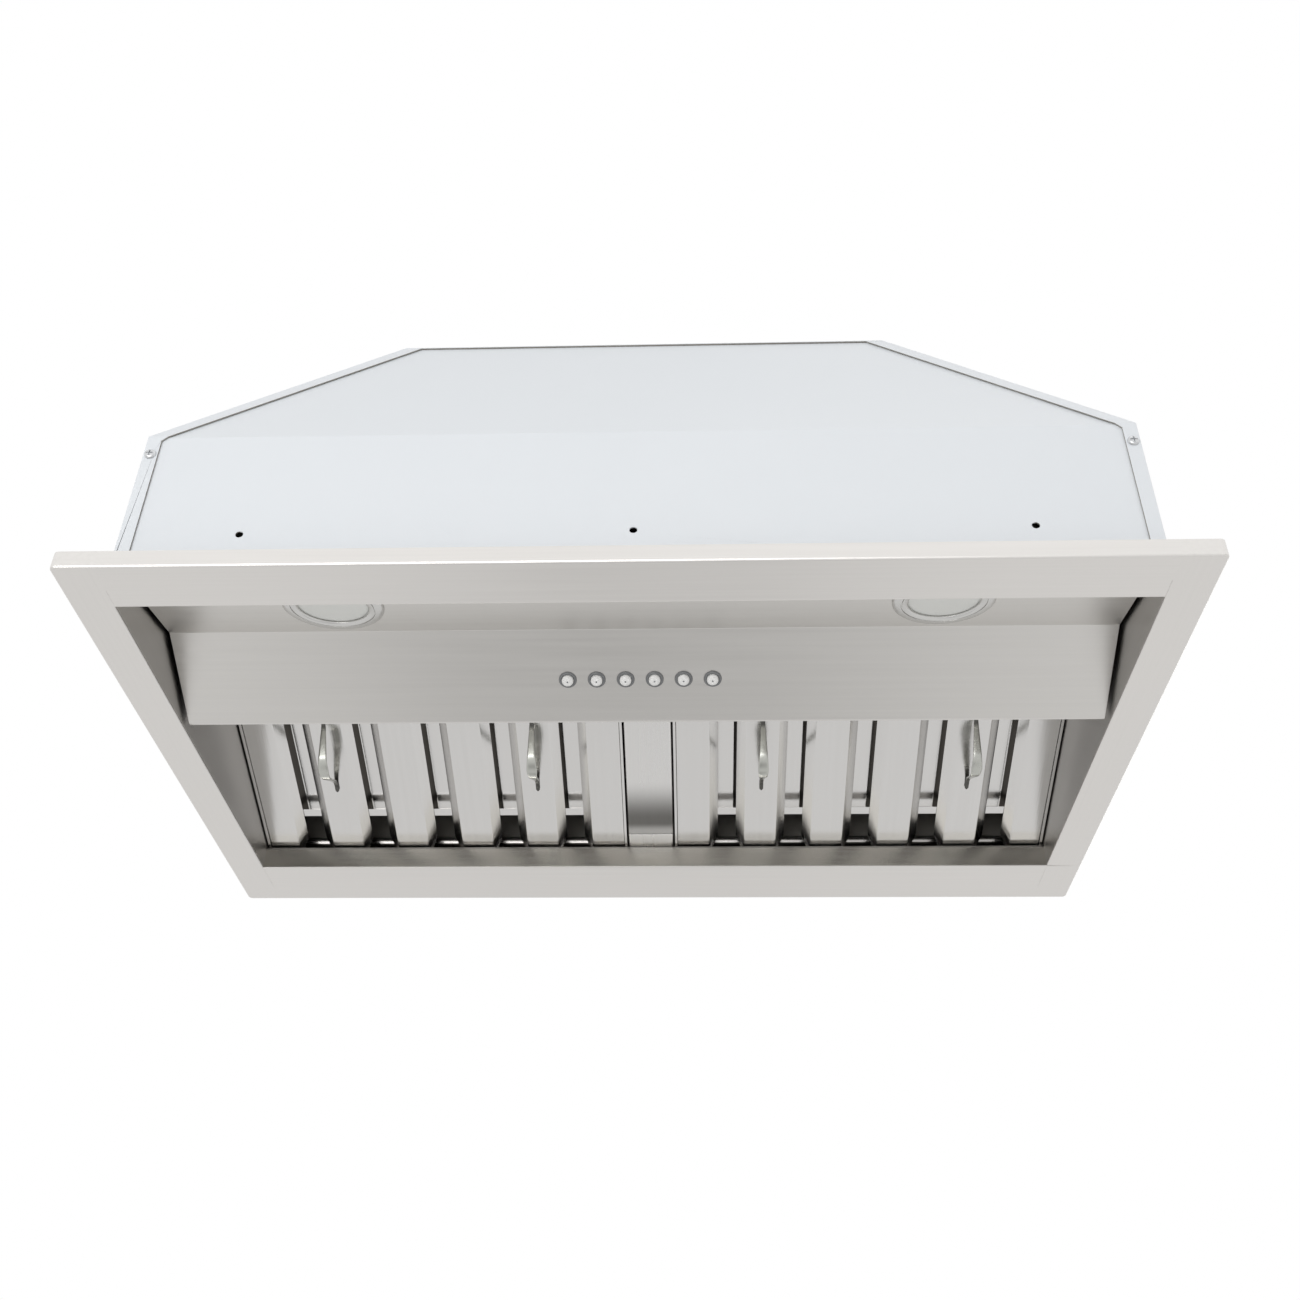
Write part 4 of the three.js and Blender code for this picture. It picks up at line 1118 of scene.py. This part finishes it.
def make_stop(side):
    """Tab inside the collar that the flaps shut on."""
    pin_level = sum(corner.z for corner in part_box("damper_pin")) / 2
    high = pin_level - 0.0008
    inner, outer = side * (collar_radius - sheet - 0.005), side * (collar_radius - sheet / 2)
    return skin([[(x, y, z) for x, y in ((-0.004, inner), (0.004, inner), (0.004, outer), (-0.004, outer))]
                 for z in (high - sheet, high)])


collar = joined(make_collar(), make_flange(), make_stop(-1), make_stop(1))
bmesh.ops.remove_doubles(collar, verts=collar.verts, dist=1e-7)
seated("round_collar", collar, galvanised, "hood_body", "duct_collar", sharp=40)
dressed("damper_pin", zinc_screw, 0.0003)
for node in ("damper_flap_front", "damper_flap_rear"):
    dressed(node, galvanised, 0.0002)

# Small screws hold the flange to the top plate.
flange_screw_head = 0.0012
flange_screw_lift = 0.00005
flange_screws = []
for x in (-0.045, 0, 0.045):
    for y in (-1, 1):
        flange_screws.append((x, y * (flange_half_y + outlet_half_y) / 2))
for x in (-1, 1):
    flange_screws.append((x * (flange_half_x + outlet_half_x) / 2, 0))
heads = None
for x, y in flange_screws:
    head = turned([(0, flange_screw_head), (0.0012, flange_screw_head * 0.95),
                   (0.0021, flange_screw_head * 0.6), (0.0025, flange_screw_lift),
                   (0, flange_screw_lift)], 24)
    bmesh.ops.translate(head, verts=head.verts, vec=(x, y, collar_foot + sheet))
    heads = joined(heads, head) if heads else head
seated("flange_screws", heads, zinc_screw, "hood_body", sharp=50)


# ---------------------------------------------------------------- blower
# Galvanised scroll and wheel, with an enclosed motor on a three-armed bracket and its capacitor.
dark_metal = coated("dark_metal", (0.075, 0.077, 0.082), (0.105, 0.107, 0.112), 0.45,
                    peel=500, relief=0.2)
for node in ("blower_housing", "blower_wheel", "motor_bracket"):
    dressed(node, galvanised, 0.0002)
for node in ("motor", "motor_capacitor"):
    dressed(node, dark_metal, width=0.0006, angle=20)
dressed("motor_shaft", zinc_screw, 0.0002)


# ---------------------------------------------------------------- electrical pieces
# Junction box and cable gland on the top plate, lamp cans, and the lamp driver.
black_plastic = coated("black_plastic", (0.020, 0.020, 0.021), (0.032, 0.032, 0.034), 0.42,
                       peel=900, relief=0.3)
for node in ("junction_box", "lamp_can_left", "lamp_can_right"):
    dressed(node, galvanised, 0.0003)
dressed("lamp_driver", black_plastic, 0.0012)

gland_low, gland_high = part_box("cable_gland")
gland_radius = 0.009
gland_neck = 0.0063
gland_bore = 0.005
nut_top = top_level + 0.0070
rib_count = 12
rib_depth = 0.035
rib_start = 0.0070
dome_radius = 0.0078


def make_gland():
    """Gland about Z: a threaded neck, a hexagon nut, and a ribbed dome nut with a bore."""
    height = gland_high.z
    foot = top_level + fit
    neck = turned([(gland_bore, gland_low.z), (gland_neck, gland_low.z), (gland_neck, foot + 0.0002),
                   (gland_bore, foot + 0.0002), (gland_bore, gland_low.z)], 48)
    nut = turned([(gland_bore, foot), (gland_radius - 0.0004, foot), (gland_radius, foot + 0.0004),
                  (gland_radius, nut_top - 0.0008), (gland_radius - 0.0008, nut_top),
                  (gland_bore, nut_top), (gland_bore, foot)], 6)
    dome = turned([(gland_bore, nut_top), (dome_radius, nut_top), (dome_radius, height - 0.0042),
                   (0.0074, height - 0.0022), (0.0066, height - 0.0007), (0.0056, height),
                   (gland_bore, height - 0.0003), (gland_bore, nut_top)], 72)
    for vert in dome.verts:
        turn = math.atan2(vert.co.y, vert.co.x) * rib_count
        if vert.co.xy.length > rib_start:
            vert.co.xy *= 1 - rib_depth * max(0, math.sin(turn))
    return joined(neck, nut, dome)


gland = make_gland()
gland_middle = (gland_low + gland_high) / 2
bmesh.ops.translate(gland, verts=gland.verts, vec=(gland_middle.x, gland_middle.y, 0))
seated("hex_gland", gland, black_plastic, "hood_body", "cable_gland", sharp=35)
